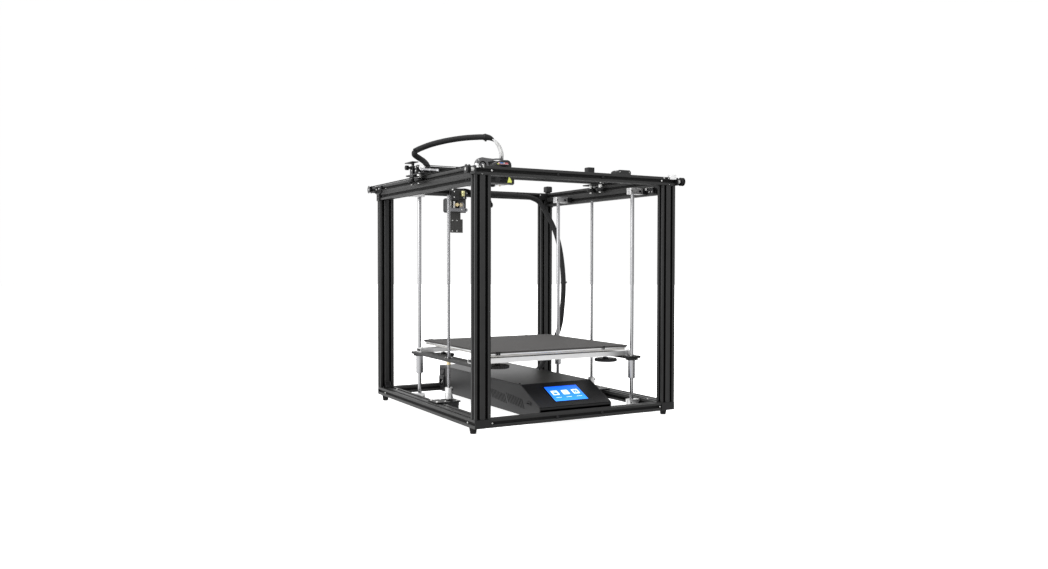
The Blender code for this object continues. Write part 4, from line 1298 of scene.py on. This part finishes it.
def add_x_drive():
    low, high = MOTOR_X - 40, MOTOR_X + 21
    plate = prism([(low, DECK_HIGH - 2), (high, DECK_HIGH - 2), (high, MOTOR_Z + 17),
                   (high - 4, MOTOR_Z + 21), (MOTOR_X - 17, MOTOR_Z + 20), (MOTOR_X - 21, MOTOR_Z + 16),
                   (MOTOR_X - 21, DECK_HIGH + 8), (low, DECK_HIGH + 8)],
                  "Y", 277, 280)
    plate = carved(plate, rod(11.3, "Y", (MOTOR_X, MOTOR_Z), 275, 282, 48, 0))
    piece("x_motor_plate", plate, black_plate, "gantry", bevel=0.4)
    motor("x_motor", "Y", (MOTOR_X, MOTOR_Z), 243, 276.7, "x_motor", body="gantry")
    heads = [screw((MOTOR_X + u, 280, MOTOR_Z + v), (0, 1, 0), 2.8, 1.8)
             for u, v in MOTOR_HOLES]
    piece("x_motor_plate_screws", together(*heads), screw_steel, "gantry")
    ends = [("motor", MOTOR_X), ("tensioner", -4.0)]
    for name, x in ends:
        centre = (x, MOTOR_Z)
        rim = together(toothed_rim("Y", centre, 5.9, 20, 286.4, 293.6),
                       pipe_ring(2.5, 7.5, "Y", centre, 285.6, 286.4),
                       pipe_ring(2.5, 7.5, "Y", centre, 293.6, 294.4),
                       rod(2.5, "Y", centre, 281, 297, 20))
        piece(f"x_{name}_pulley", rim, aluminium, "gantry")
    loop = belt("Y", (MOTOR_X, MOTOR_Z), 5.6, (ends[1][1], MOTOR_Z), 5.6, 287, 293)
    piece("x_belt", loop, belt_rubber, "gantry", angle=60)


def add_gantry_fittings():
    """The belt tensioner, its knob and its cover on the left end, and the small housing on the
    right end of the beam."""
    barrel_z = 596.6
    marks = [(0, -4), (4.6, -4), (5.2, -3.4), (5.2, 0.5), (4.6, 1), (4.6, 13.6), (5.6, 14.2),
             (5.6, 18.4), (4.6, 19), (4.6, 35), (5.4, 35.6), (5.4, 39.4), (4.8, 40), (0, 40)]
    barrel = turned(marks, "X", (287, barrel_z), 40)
    piece("tensioner_barrel", barrel, steel, "gantry")
    bracket = together(prism(rounded((-15, 590.5), (12, 609), 2.5), "Y", 292.6, 295.4),
                       prism(rounded((30, 590.5), (47, 604), 2), "Y", 292.6, 295.4),
                       block((-15, 295.6, 589), (-11.5, 303, 607)))
    piece("belt_tensioner", bracket, black_plate, "gantry", bevel=0.5)
    heads = [screw((x, 292.6, z), (0, -1, 0), 2.0, 1.2) for x, z in ((8, 605), (43, 594), (-11, 605))]
    heads += [screw((-15, y, z), (-1, 0, 0), 2.4, 1.6) for y, z in ((298.5, 594), (298.5, 603))]
    piece("tensioner_screws", together(*heads), screw_steel, "gantry")

    knob_rows = [(0, -24), (5.0, -24), (6.0, -23), (6.0, -15.5), (5.2, -14.6), (3.0, -14.4), (3.0, -9),
                 (0, -9)]
    knob = turned(knob_rows, "X", (345, 606), 14)
    piece("tensioner_knob", knob, black_plastic, "gantry", bevel=0.5)
    post = together(block((-13, 324, DECK_HIGH), (-8, 331, 616)), rod(2, "X", (345, 606), -9, 3, 20),
                    block((-9, 339, DECK_HIGH), (4, 351, 611)))
    piece("tensioner_stand", post, black_plate, "gantry", bevel=0.5)
    cover = prism(rounded((-24, 300), (-6, 351), 2.5), "Z", 616, 618)
    piece("tensioner_cover", cover, black_plate, "gantry", bevel=0.3)
    heads = [screw((x, y, 618), (0, 0, 1), 2.2, 1.3) for x, y in ((-11, 327.5), (-19, 344))]
    heads += [screw((-13, 328, z), (-1, 0, 0), 2.2, 1.3) for z in (597, 611)]
    piece("tensioner_cover_screws", together(*heads), screw_steel, "gantry")

    base = lofted([[(508 + u * w, BEAM_Y + v * w, z) for u, v in ((-1, -1), (1, -1), (1, 1), (-1, 1))]
                   for w, z in ((7.5, BEAM_HIGH.z), (8, BEAM_HIGH.z + 3), (10, BEAM_HIGH.z + 9))])
    piece("beam_block_base", base, cast_black, "gantry", bevel=0.6)
    top = prism(rounded((497.5, BEAM_Y - 10.5), (518.5, BEAM_Y + 10.5), 2), "Z",
                BEAM_HIGH.z + 9.2, BEAM_HIGH.z + 24)
    piece("beam_block_cover", top, black_plastic, "gantry", bevel=0.9)


def add_switches():
    """The limit switch inside the right rail and the housing on the rear right corner."""
    case = prism(rounded((46, 544), (66, 558), 1.2), "X", 524, 532)
    piece("limit_switch_case", case, black_plastic, bevel=0.4)
    lever = block((523.2, 46, 558.4), (530, 78, 559.2))
    roller = rod(3.4, "X", (76, 555.4), 524, 530, 24)
    pins = [block((532, y, 547), (537, y + 1, 552)) for y in (49, 56, 63)]
    heads = [screw((524, y, 548), (-1, 0, 0), 1.7, 1.0) for y in (50.5, 61.5)]
    piece("limit_switch_metal", together(lever, roller, *pins, *heads), screw_steel,
          bevel=0.15)
    base = block((532, 44, 542), (538, 80, 556))
    piece("limit_switch_base", base, black_plate, bevel=0.4)

    corner = lofted([[(x, y, HEIGHT + z) for x, y in rounded((538 + inset, 589 + inset),
                                                             (558 - inset, DEPTH - inset), 3)]
                     for z, inset in ((0.3, 3.5), (4, 3.5), (5, 0), (20, 0), (22, 2))])
    piece("corner_housing", corner, black_plastic, bevel=0.6)
    plate = prism(rounded((510, 560.3), (556, 581), 2), "Y", 587.7, 590.7)
    piece("corner_bracket_plate", plate, black_plate, bevel=0.5)
    heads = [screw((x, 587.7, z), (0, -1, 0), 2.6, 1.6) for x, z in ((514.6, 574.4), (551, 575.8))]
    piece("corner_bracket_bolts", together(*heads), screw_steel)


# ---------------------------------------------------------------- tool head

HEAD_LOW, HEAD_HIGH = span_of("hotend")
NOZZLE = Vector((205.0, 270.0, HEAD_LOW.z))
FAN = (200.0, 597.0)
TUBE_FOOT = (211.5, 275.0)


def add_tool_head():
    back = 281.3
    outline = [(170, 570), (250, 570), (254, 574), (254, 586), (250, 590), (245, 590), (245, 626),
               (241, 630), (170, 630), (165, 625), (165, 575)]
    plate = prism(outline, "Y", back, back + 3)
    piece("head_plate", plate, black_plate, "tool_head", ["x_carriage"], 0.4)
    tyres, metal = [], []
    for x, z in ((180, BEAM_HIGH.z + 10.8), (230, BEAM_HIGH.z + 10.8), (205, BEAM_LOW.z - 10.8)):
        tyre, bearing = v_wheel("Y", (x, z), BEAM_Y)
        tyres.append(tyre)
        metal += [bearing, rod(2.4, "Y", (x, z), back + 3, BEAM_Y + 8, 20),
                  prism(circle((x, z), 4.2, 6), "Y", back + 3, BEAM_Y - 4.8),
                  prism(circle((x, z), 4.4, 6), "Y", BEAM_Y + 4.8, BEAM_Y + 8.6)]
    piece("head_wheels", together(*tyres), black_plastic, "tool_head")
    piece("head_wheel_bearings", together(*metal), screw_steel, "tool_head")
    heads = [screw((x, back, z), (0, -1, 0), 2.4, 1.6) for x, z in ((248.5, 575.5), (240, 611))]
    piece("head_plate_screws", together(*heads), screw_steel, "tool_head")

    front, rear = HEAD_LOW.y, HEAD_HIGH.y - 0.3
    line = [(162.5, 569), (229.5, 569), (232, 571.5), (232, 583.5), (230.5, 586), (226, 588.5),
            (224, 591.5), (224, 616), (222.6, 622), (218.5, 627.4), (214, 629), (200, 628.5),
            (190, 625), (178, 619), (168, 612), (162, 605), (160, 601), (160, 571.5)]
    middle = Vector((193, 597))
    loops = []
    for y, share in ((rear, 1.0), (front + 6, 1.0), (front + 2.6, 0.975), (front + 0.8, 0.935),
                     (front, 0.88)):
        loops.append([(p.x, y, p.y) for p in (middle + (Vector(q) - middle) * share for q in line)])
    hood = lofted(loops)
    hood = carved(hood, rod(19, "Y", FAN, front - 3, front + 13, 64, 0))
    ribs = [rounded((164, 575 + k * 3.6), (176, 576.6 + k * 3.6), 0.7, 3) for k in range(4)]
    ribs += [rounded((211 - k * 3, 571.5 + k * 0.1), (212.6 - k * 3, 577 + k * 0.1), 0.7, 3)
             for k in range(8)]
    hood = carved(hood, *[prism(r, "Y", front - 2, front + 16) for r in ribs])
    piece("head_shroud", hood, black_plastic, "tool_head", ["hotend"], 0.4)

    guard = [pipe_ring(r, r + 1.1, "Y", FAN, front + 0.3, front + 1.3, 48)
             for r in (6.5, 11.5, 16.5)]
    for k in range(4):
        bar = block((-0.6, 0.4, 4), (0.6, 1.2, 19.4))
        turn = Matrix.Rotation(math.pi / 4 + math.pi / 2 * k, 4, "Y")
        guard.append(moved(bar, Matrix.Translation((FAN[0], front, FAN[1])) @ turn))
    piece("fan_guard", together(*guard), black_oxide, "tool_head")
    corners = [screw((FAN[0] + u, front + 1.2, FAN[1] + v), (0, -1, 0), 1.7, 1.0)
               for u, v in ((-16, -16), (16, -16), (-16, 16), (16, 16))]
    corners += [screw((x, front + 2, z), (0, -1, 0), 2.6, 1.8) for x, z in ((227, 574), (227, 581.5))]
    piece("fan_screws", together(*corners), dark_steel, "tool_head")

    heat_block = block((NOZZLE.x - 10, NOZZLE.y - 12, 565.8), (NOZZLE.x + 10, NOZZLE.y + 8, 568.8))
    sock = turned([(0, 563.5), (0.5, 563.5), (0.9, 563.7), (2.9, 565.6), (4, 565.6), (4.2, 566.8),
                   (0, 566.8)], "Z", (NOZZLE.x, NOZZLE.y), 32)
    piece("heater_block", heat_block, aluminium, "tool_head", bevel=0.5)
    piece("nozzle", sock, brass, "tool_head")
    fitting = turned([(2.2, 628.6), (5.4, 628.6), (5.4, 633), (4.4, 633.6), (4.4, 638), (3.4, 639),
                      (3.4, 641.5), (2.2, 641.5)], "Z", TUBE_FOOT, 32)
    piece("tube_fitting", fitting, dark_steel, "tool_head", bevel=0.15)

    patches = (("pink", "pink", (184, 618.7), (188.2, 621)),
               ("blue", "blue", (189, 618.7), (198, 621)),
               ("white", "white", (199, 618.7), (202.4, 621)),
               ("red", "red", (203.4, 618.7), (212, 621)),
               ("yellow", "yellow", (181, 616.3), (185.6, 618.1)),
               ("rose", "pink", (187, 616.9), (213, 617.9)))
    for name, colour, low, high in patches:
        patch = prism(rounded(low, high, 0.4), "Y", front - 0.3, front + 3)
        piece(f"head_label_{name}", patch, label[colour], "tool_head")
    mark = prism([(210, 571.2), (222.5, 571.2), (222.5, 575), (217, 584.5), (214, 584.5)], "Y",
                 front - 0.35, front + 3)
    piece("head_mark", mark, label["yellow"], "tool_head", bevel=0.2)


def add_head_fan():
    pivot = (FAN[0], 243.5, FAN[1])
    hub = turned([(0, -3.5), (6.4, -3.5), (8, -2.2), (8, 3.5), (0, 3.5)], "Z", (0, 0), 40)
    blades = []
    for turn in range(7):
        loops = []
        for r in (7.4, 10.5, 14, 18):
            pitch = math.radians(42 - (r - 7.4) * 1.2)
            sweep = math.radians((r - 7.4) * 1.6)
            span = 3.3 + (r - 7.4) * 0.16
            loop = []
            for u, t in ((-1, 0.35), (0, 0.6), (1, 0.35), (1, -0.35), (0, -0.2), (-1, -0.35)):
                across = u * span * math.cos(pitch)
                depth = u * span * math.sin(pitch) * 0.75 + t
                angle = across / r + sweep
                loop.append((r * math.cos(angle), r * math.sin(angle), depth))
            loops.append(loop)
        blades.append(moved(lofted(loops), Matrix.Rotation(2 * math.pi * turn / 7, 4, "Z")))
    rotor = moved(together(hub, *blades), facing(pivot, (0, -1, 0)))
    piece("fan_rotor_blades", rotor, black_plastic, "fan_rotor", ["hotend_fan"])


def add_blower():
    """The grey part-cooling blower left of the shroud: a volute whose outlet runs along its top."""
    centre = Vector((145.0, 612.5))
    low, high = 246.0, 260.0
    volute = []
    for step in range(41):
        share = step / 40
        angle = math.pi / 2 + 2 * math.pi * share * 0.94
        radius = 17.5 + 2.4 * (1 - share) - 2.6 * share
        volute.append(tuple(centre + radius * Vector((math.cos(angle), math.sin(angle)))))
    case = fused(prism(volute, "Y", low, high),
                 prism([(145, 618), (158, 621.5), (172, 624.4), (172, 630.2), (152, 631.4),
                        (145, 632.2)], "Y", low + 0.4, high - 0.4))
    case = carved(case, rod(10.5, "Y", centre, low - 2, low + 9, 48, 0))
    piece("blower_case", case, grey_plastic, "tool_head", bevel=0.9)
    outlet = prism([(172.2, 625.0), (181, 627.6), (191, 629.4), (191, 632.2), (181, 631.6),
                    (172.2, 630.0)], "Y", low + 1, high - 1)
    piece("blower_outlet", outlet, grey_plastic, "tool_head", bevel=0.6)
    tip = prism([(191.2, 629.2), (196, 629.6), (196, 632.4), (191.2, 632.3)], "Y",
                low + 0.6, high - 0.6)
    piece("blower_tip", tip, black_plastic, "tool_head", bevel=0.5)
    hub = turned([(0, 0), (8.4, 0), (8.4, 5), (7.2, 6.6), (3.4, 7.2), (0, 7.2)], "Z", (0, 0), 40)
    hub = moved(hub, facing((centre[0], low + 8.6, centre[1]), (0, -1, 0)))
    piece("blower_hub", hub, grey_plastic, "tool_head")
    pin = turned([(0, 0), (2.6, 0), (2.6, 1.2), (1.8, 1.9), (0, 1.9)], "Z", (0, 0), 24)
    pin = moved(pin, facing((centre[0], low + 1.5, centre[1]), (0, -1, 0)))
    vanes = []
    for k in range(20):
        vane = block((8.6, -0.25, 0), (10.2, 0.25, 7.6))
        vane = moved(vane, Matrix.Rotation(2 * math.pi * k / 20, 4, "Z"))
        vanes.append(moved(vane, facing((centre[0], low + 8.8, centre[1]), (0, -1, 0))))
    piece("blower_vanes", together(*vanes), black_plastic, "tool_head", bevel=0.1)
    heads = [screw((x, low, z), (0, -1, 0), 1.8, 1.1)
             for x, z in ((131, 604.6), (158.6, 603), (133, 624))]
    piece("blower_screws", together(pin, *heads), screw_steel, "tool_head")
    arm = together(block((146, 260.2, 604), (168, 262.6, 614)),
                   block((164, 262.8, 598), (167.4, 281, 614)))
    piece("blower_arm", arm, dark_steel, "tool_head", bevel=0.4)
    duct = lofted([[(x, y, z) for x, y in ((146 + shift, low + 1.5), (157 + shift, low + 1.5),
                                           (157 + shift, high - 1.5), (146 + shift, high - 1.5))]
                   for z, shift in ((598, 0), (588, 0), (575, 1.5))])
    piece("blower_duct", duct, black_plastic, "tool_head", bevel=0.7)


# ---------------------------------------------------------------- filament feeder

def add_feeder():
    rear = DEPTH - PROFILE - 0.3
    front = rear - 3
    centre = (228.0, 535.0)
    outline = [(210, 455), (252, 455), (252, 494), (245, 494), (245, 513), (262, 513),
               (262, 577), (210, 577)]
    plate = carved(prism(outline, "Y", front, rear),
                   rod(11.2, "Y", centre, front - 1, rear + 1, 48, 0))
    piece("feeder_plate", plate, feeder_coat, replaces=["feeder_bracket"],
          bevel=0.5)
    motor("feeder_motor", "Y", centre, rear + 0.3, rear + 36.3, "feeder_motor", face_high=False)

    head = prism([(211, 548), (232, 548), (236, 552), (258, 552), (258, 574), (255, 577), (214, 577),
                  (211, 574)], "Y", front - 13, front - 0.2)
    head = carved(head, rod(2.1, "Z", (216.5, front - 7), 540, 580, 24, 0))
    piece("feeder_block", head, cast_black, bevel=0.9)
    heads = [screw((x, front, z), (0, -1, 0), 2.2, 1.3)
             for x in (219, 233.5) for z in (459.6, 490.0)]
    heads += [screw((219, front - 13, z), (0, -1, 0), 2.3, 1.4) for z in (556, 572)]
    heads += [screw((250, front - 13, 555), (0, -1, 0), 2.0, 1.2),
              screw((267, DEPTH - PROFILE + 0.5, 570), (0, -1, 0), 2.2, 1.2)]
    guide = prism(rounded((217.6, 526.5), (223, 545), 1.2), "Y", front - 9, front - 5)
    piece("feeder_screws", together(guide, *heads), screw_steel)
    rows = [(2.2, 559), (4.8, 559), (5.4, 559.8), (5.4, 564), (4.7, 564.8), (4.7, 566), (5.4, 566.8),
            (5.4, 573), (4.8, 574.4), (2.2, 574.4)]
    piece("feeder_thumb_nut", turned(rows, "Z", (243, front - 20.4), 40), pale_brass)

    teeth = toothed_rim("Y", centre, 5.6, 18, front - 13, front - 5)
    hub = rod(4.8, "Y", centre, front - 15, front - 3, 32)
    shaft = rod(2.5, "Y", centre, front - 16.5, rear - 0.3, 24)
    piece("drive_gear_teeth", together(teeth, hub, shaft), brass, "feeder_gear_body",
          ["feeder_gear"])

    pivot, roller_at = (243.0, 521.0), (240.8, 535)
    arm_line = [(-36, -5.5), (14, -5.5), (17.5, -4), (19, -0.5), (18, 3), (15, 5), (8, 5), (8, 17),
                (5, 21), (-4, 21), (-7, 18), (-7, 4), (-36, 4)]
    arm = prism([(pivot[0] + u, pivot[1] + v) for u, v in arm_line], "Y", front - 12, front - 1)
    arm = carved(arm, rod(2.7, "Y", pivot, front - 13, front, 24, 0),
                 rod(2.2, "Y", (254.5, 521), front - 13, front - 6, 24, 0),
                 rod(5.7, "Y", roller_at, front - 13, front - 4, 32, 0))
    piece("lever_arm", arm, lever_grey, "feeder_arm", ["feeder_lever"], 0.7)
    roller = toothed_rim("Y", roller_at, 5.3, 18, front - 11.8, front - 4.2)
    piece("lever_roller", roller, brass, "feeder_arm")
    pin = turned([(0, front - 13.6), (1.6, front - 13.6), (2.0, front - 13.2), (2.0, front - 2),
                  (0, front - 2)], "Y", roller_at, 24)
    piece("lever_roller_pin", pin, steel, "feeder_arm")
    hinge = together(rod(2.3, "Y", pivot, front - 13.5, front - 0.1, 24),
                     screw((pivot[0], front - 13, pivot[1]), (0, -1, 0), 3.0, 1.8))
    piece("lever_hinge_pin", hinge, screw_steel)
    coil = [(211 + 2.6 * math.cos(k * 0.8), front - 6 + 2.6 * math.sin(k * 0.8), 525.8 + 21.4 * k / 60)
            for k in range(61)]
    spring = piece("lever_spring", wire(coil, 0.5, 1.1, 8), screw_steel)
    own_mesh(spring)
    tube = wire([(216.5, front - 7, 574), (216.5, front - 7, 584), (217, front - 8, 597)], 2.0, 3.0, 16)
    piece("feeder_outlet_tube", tube, white_tube)


# ---------------------------------------------------------------- wiring

LOWER_ROUTE = [(381, 566, 36), (415, 567, 36), (455, 569, 37), (492, 571, 42),
               (514, 570, 62), (523, 556, 95), (527, 528, 130), (532, 505, 175),
               (536, 498, 220), (543, 500, 305), (545, 520, 399), (540, 546, 467),
               (521, 568, 523), (505, 577, 551), (484, 580, 563), (455, 581, 568),
               (400, 581.5, 570), (330, 581.5, 571), (278, 581.5, 571)]

UPPER_ROUTE = [(122, 585, 590), (112, 548, 602), (102, 505, 613), (84, 455, 625),
               (60, 420, 633), (36, 398, 639), (20, 390, 646), (20, 388, 655),
               (38, 392, 664), (66, 385, 675.5), (100, 366, 685), (137, 345, 691.5),
               (168, 322, 693.5), (184, 308, 693)]


def braided(route_points):
    """A sleeve whose surface has the diamonds of a two-way braid."""
    strands, lay, spacing = 11, 8.6, 1.3

    def radius_at(angle, distance):
        turn = 2 * math.pi * distance / lay
        weave = math.cos(strands * angle + turn) * math.cos(strands * angle - turn)
        return 7.2 + 0.28 * weave

    return swept(smooth_route(route_points, spacing), 44, radius_at)


def tie(place, direction, radius=8.0):
    """A cable tie with its head, round a sleeve that runs in a direction."""
    band = pipe_ring(radius - 0.9, radius, "Z", (0, 0), -1.8, 1.8, 32)
    head = block((radius - 1.2, -2.6, -2.4), (radius + 3.0, 2.6, 2.4))
    tail = block((radius - 0.4, 2.2, -1.2), (radius + 0.8, 8, 1.2))
    return moved(together(band, head, tail), facing(place, direction))


def add_wiring():
    piece("lower_sleeve", braided(LOWER_ROUTE), braid,
          replaces=["cable_sleeve_lower"])
    gland = turned([(7.5, 0), (11.5, 0), (12, 0.6), (12, 5), (10.4, 7.2), (10.2, 10), (7.5, 10)],
                   "Z", (0, 0), 40)
    piece("sleeve_gland", moved(gland, facing((BOX_HIGH.x + 0.2, 566, 36), (1, 0, 0))), black_plastic,
          bevel=0.3)
    ties = [tie(a, Vector(b) - Vector(a)) for a, b in
            (((516, 571, 533), (505, 577, 551)), ((430, 581.3, 569), (400, 581.5, 570)),
             ((300, 581.5, 571), (278, 581.5, 571)), ((543.2, 501, 310), (544, 507, 350)),
             ((528, 523, 140), (530, 514, 160)))]
    piece("cable_ties", together(*ties), black_plastic, bevel=0.2)

    loom = [((280, 581.5, 571), (0, 1, 0)), ((272, 583.5, 578), (0, 1, 0)),
            ((262, 593, 582.9), (0.3, 1, 0)), ((245, 601, 582.9), (0, 1, 0)),
            ((190, 601, 582.9), (0, 1, 0)), ((150, 601, 582.9), (0, 1, 0)),
            ((130, 597, 584.4), (-0.7, 0.7, 0)), ((121, 587, 588.8), (-1, 0, 0))]
    strands = [wire([tuple(a + u * b for a, b in zip(place, across)) for place, across in loom],
                    1.3, 3, 10) for u in (-5.4, -2.7, 0, 2.7, 5.4)]
    piece("rear_loom", together(*strands), wire_black)
    clips = []
    for x in (158, 220):
        saddle = prism([(592.4, 581.3), (609.6, 581.3), (609.6, 584.4), (608.4, 585.6), (593.6, 585.6),
                        (592.4, 584.4)], "X", x, x + 6)
        clips.append(carved(saddle, block((x - 1, 593.6, 580), (x + 7, 608.4, 584.5))))
    piece("rear_loom_clips", together(*clips), black_plastic, bevel=0.3)

    turn_y = 388  # the sleeve is cut where it turns round, above the gantry's left end
    split = next(i for i, p in enumerate(UPPER_ROUTE) if p[1] == turn_y)
    first, second = UPPER_ROUTE[:split + 1], UPPER_ROUTE[split:]
    parts = [("upper_sleeve_rear", first, "root", "gantry"),
             ("upper_sleeve_front", second, "gantry", "tool_head")]
    for name, route, one, two in parts:
        shape = piece(name, braided(route), braid, body=None,
                      replaces=["cable_sleeve_upper"])
        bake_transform(shape)

    boot = swept(smooth_route([(180, 311.5, 693.2), (188, 304, 692), (195, 298, 688.5),
                               (201, 292, 682), (205, 287, 675)], 1.5), 32,
                 lambda angle, distance: max(1.4, 8.3 - 0.015 * distance - 0.0052 * distance ** 2))
    piece("sleeve_boot", boot, rubber, "tool_head")
    end_tie = tie((183, 309, 693), (1, -0.9, -0.1), 8.9)
    piece("sleeve_end_tie", end_tie, black_plastic, "tool_head", bevel=0.2)
    tube = wire([(194, 299, 689), (200, 291.5, 683), (205.5, 284, 673), (210, 279, 660),
                 (TUBE_FOOT[0], TUBE_FOOT[1] + 1, 650), (*TUBE_FOOT, 634)], 2.1, 3, 20)
    piece("filament_tube", tube, white_tube, "tool_head")
    pale, dark = [], []
    lead_places = ((-4.4, -1.0), (-3.6, 1.8), (3.4, -1.8), (4.2, 1.4), (0.6, 3.6), (5.0, -0.6),
                   (-1.6, 3.2), (2.4, 2.8), (-2.6, -2.0))
    dark_lead = 5
    for k, (u, v) in enumerate(lead_places):
        end_x, end_y = TUBE_FOOT[0] + u, TUBE_FOOT[1] + v
        strand = wire([(193 + 0.3 * u, 299 + 0.5 * v, 689 - 0.5 * v),
                       (200 + 0.6 * u, 291.5 + v, 684), (205.5 + 0.9 * u, 284 + v, 674),
                       (210.3 + u, 279 + v, 660), (end_x, end_y, 648), (end_x, end_y, 630)],
                      1.35, 3, 10)
        (dark if k == dark_lead else pale).append(strand)
    piece("head_leads_pale", together(*pale), lead_grey, "tool_head")
    piece("head_leads_dark", together(*dark), wire_black, "tool_head")


def dress_rest():
    """Gives a surface to each CAD node that no piece stands in for."""
    fallback = {"frame_profile": anodised["X"], "black_plate": black_plate, "brass": brass,
                "polished_steel": steel, "bare_aluminium": aluminium}
    slots = {row["node"]: row["material_slot"] for row in frame["record"]["subparts"]}
    for name, node in frame["nodes"].items():
        if not node.hide_render and not node.modifiers:
            node.data.materials.clear()
            node.data.materials.append(fallback.get(slots[name], black_plastic))


add_camera()
add_studio()
add_rails()
add_end_caps()
add_frame_screws()
add_corner_brackets()
add_feet()
add_guide_rods()
add_z_drives()
add_bed_frame()
add_bed_plates()
add_levelling_knobs()
add_control_box()
add_panel()
add_box_fittings()
add_y_drive()
add_y_carriages()
add_x_drive()
add_gantry_fittings()
add_switches()
add_tool_head()
add_head_fan()
add_blower()
add_feeder()
add_wiring()
dress_rest()
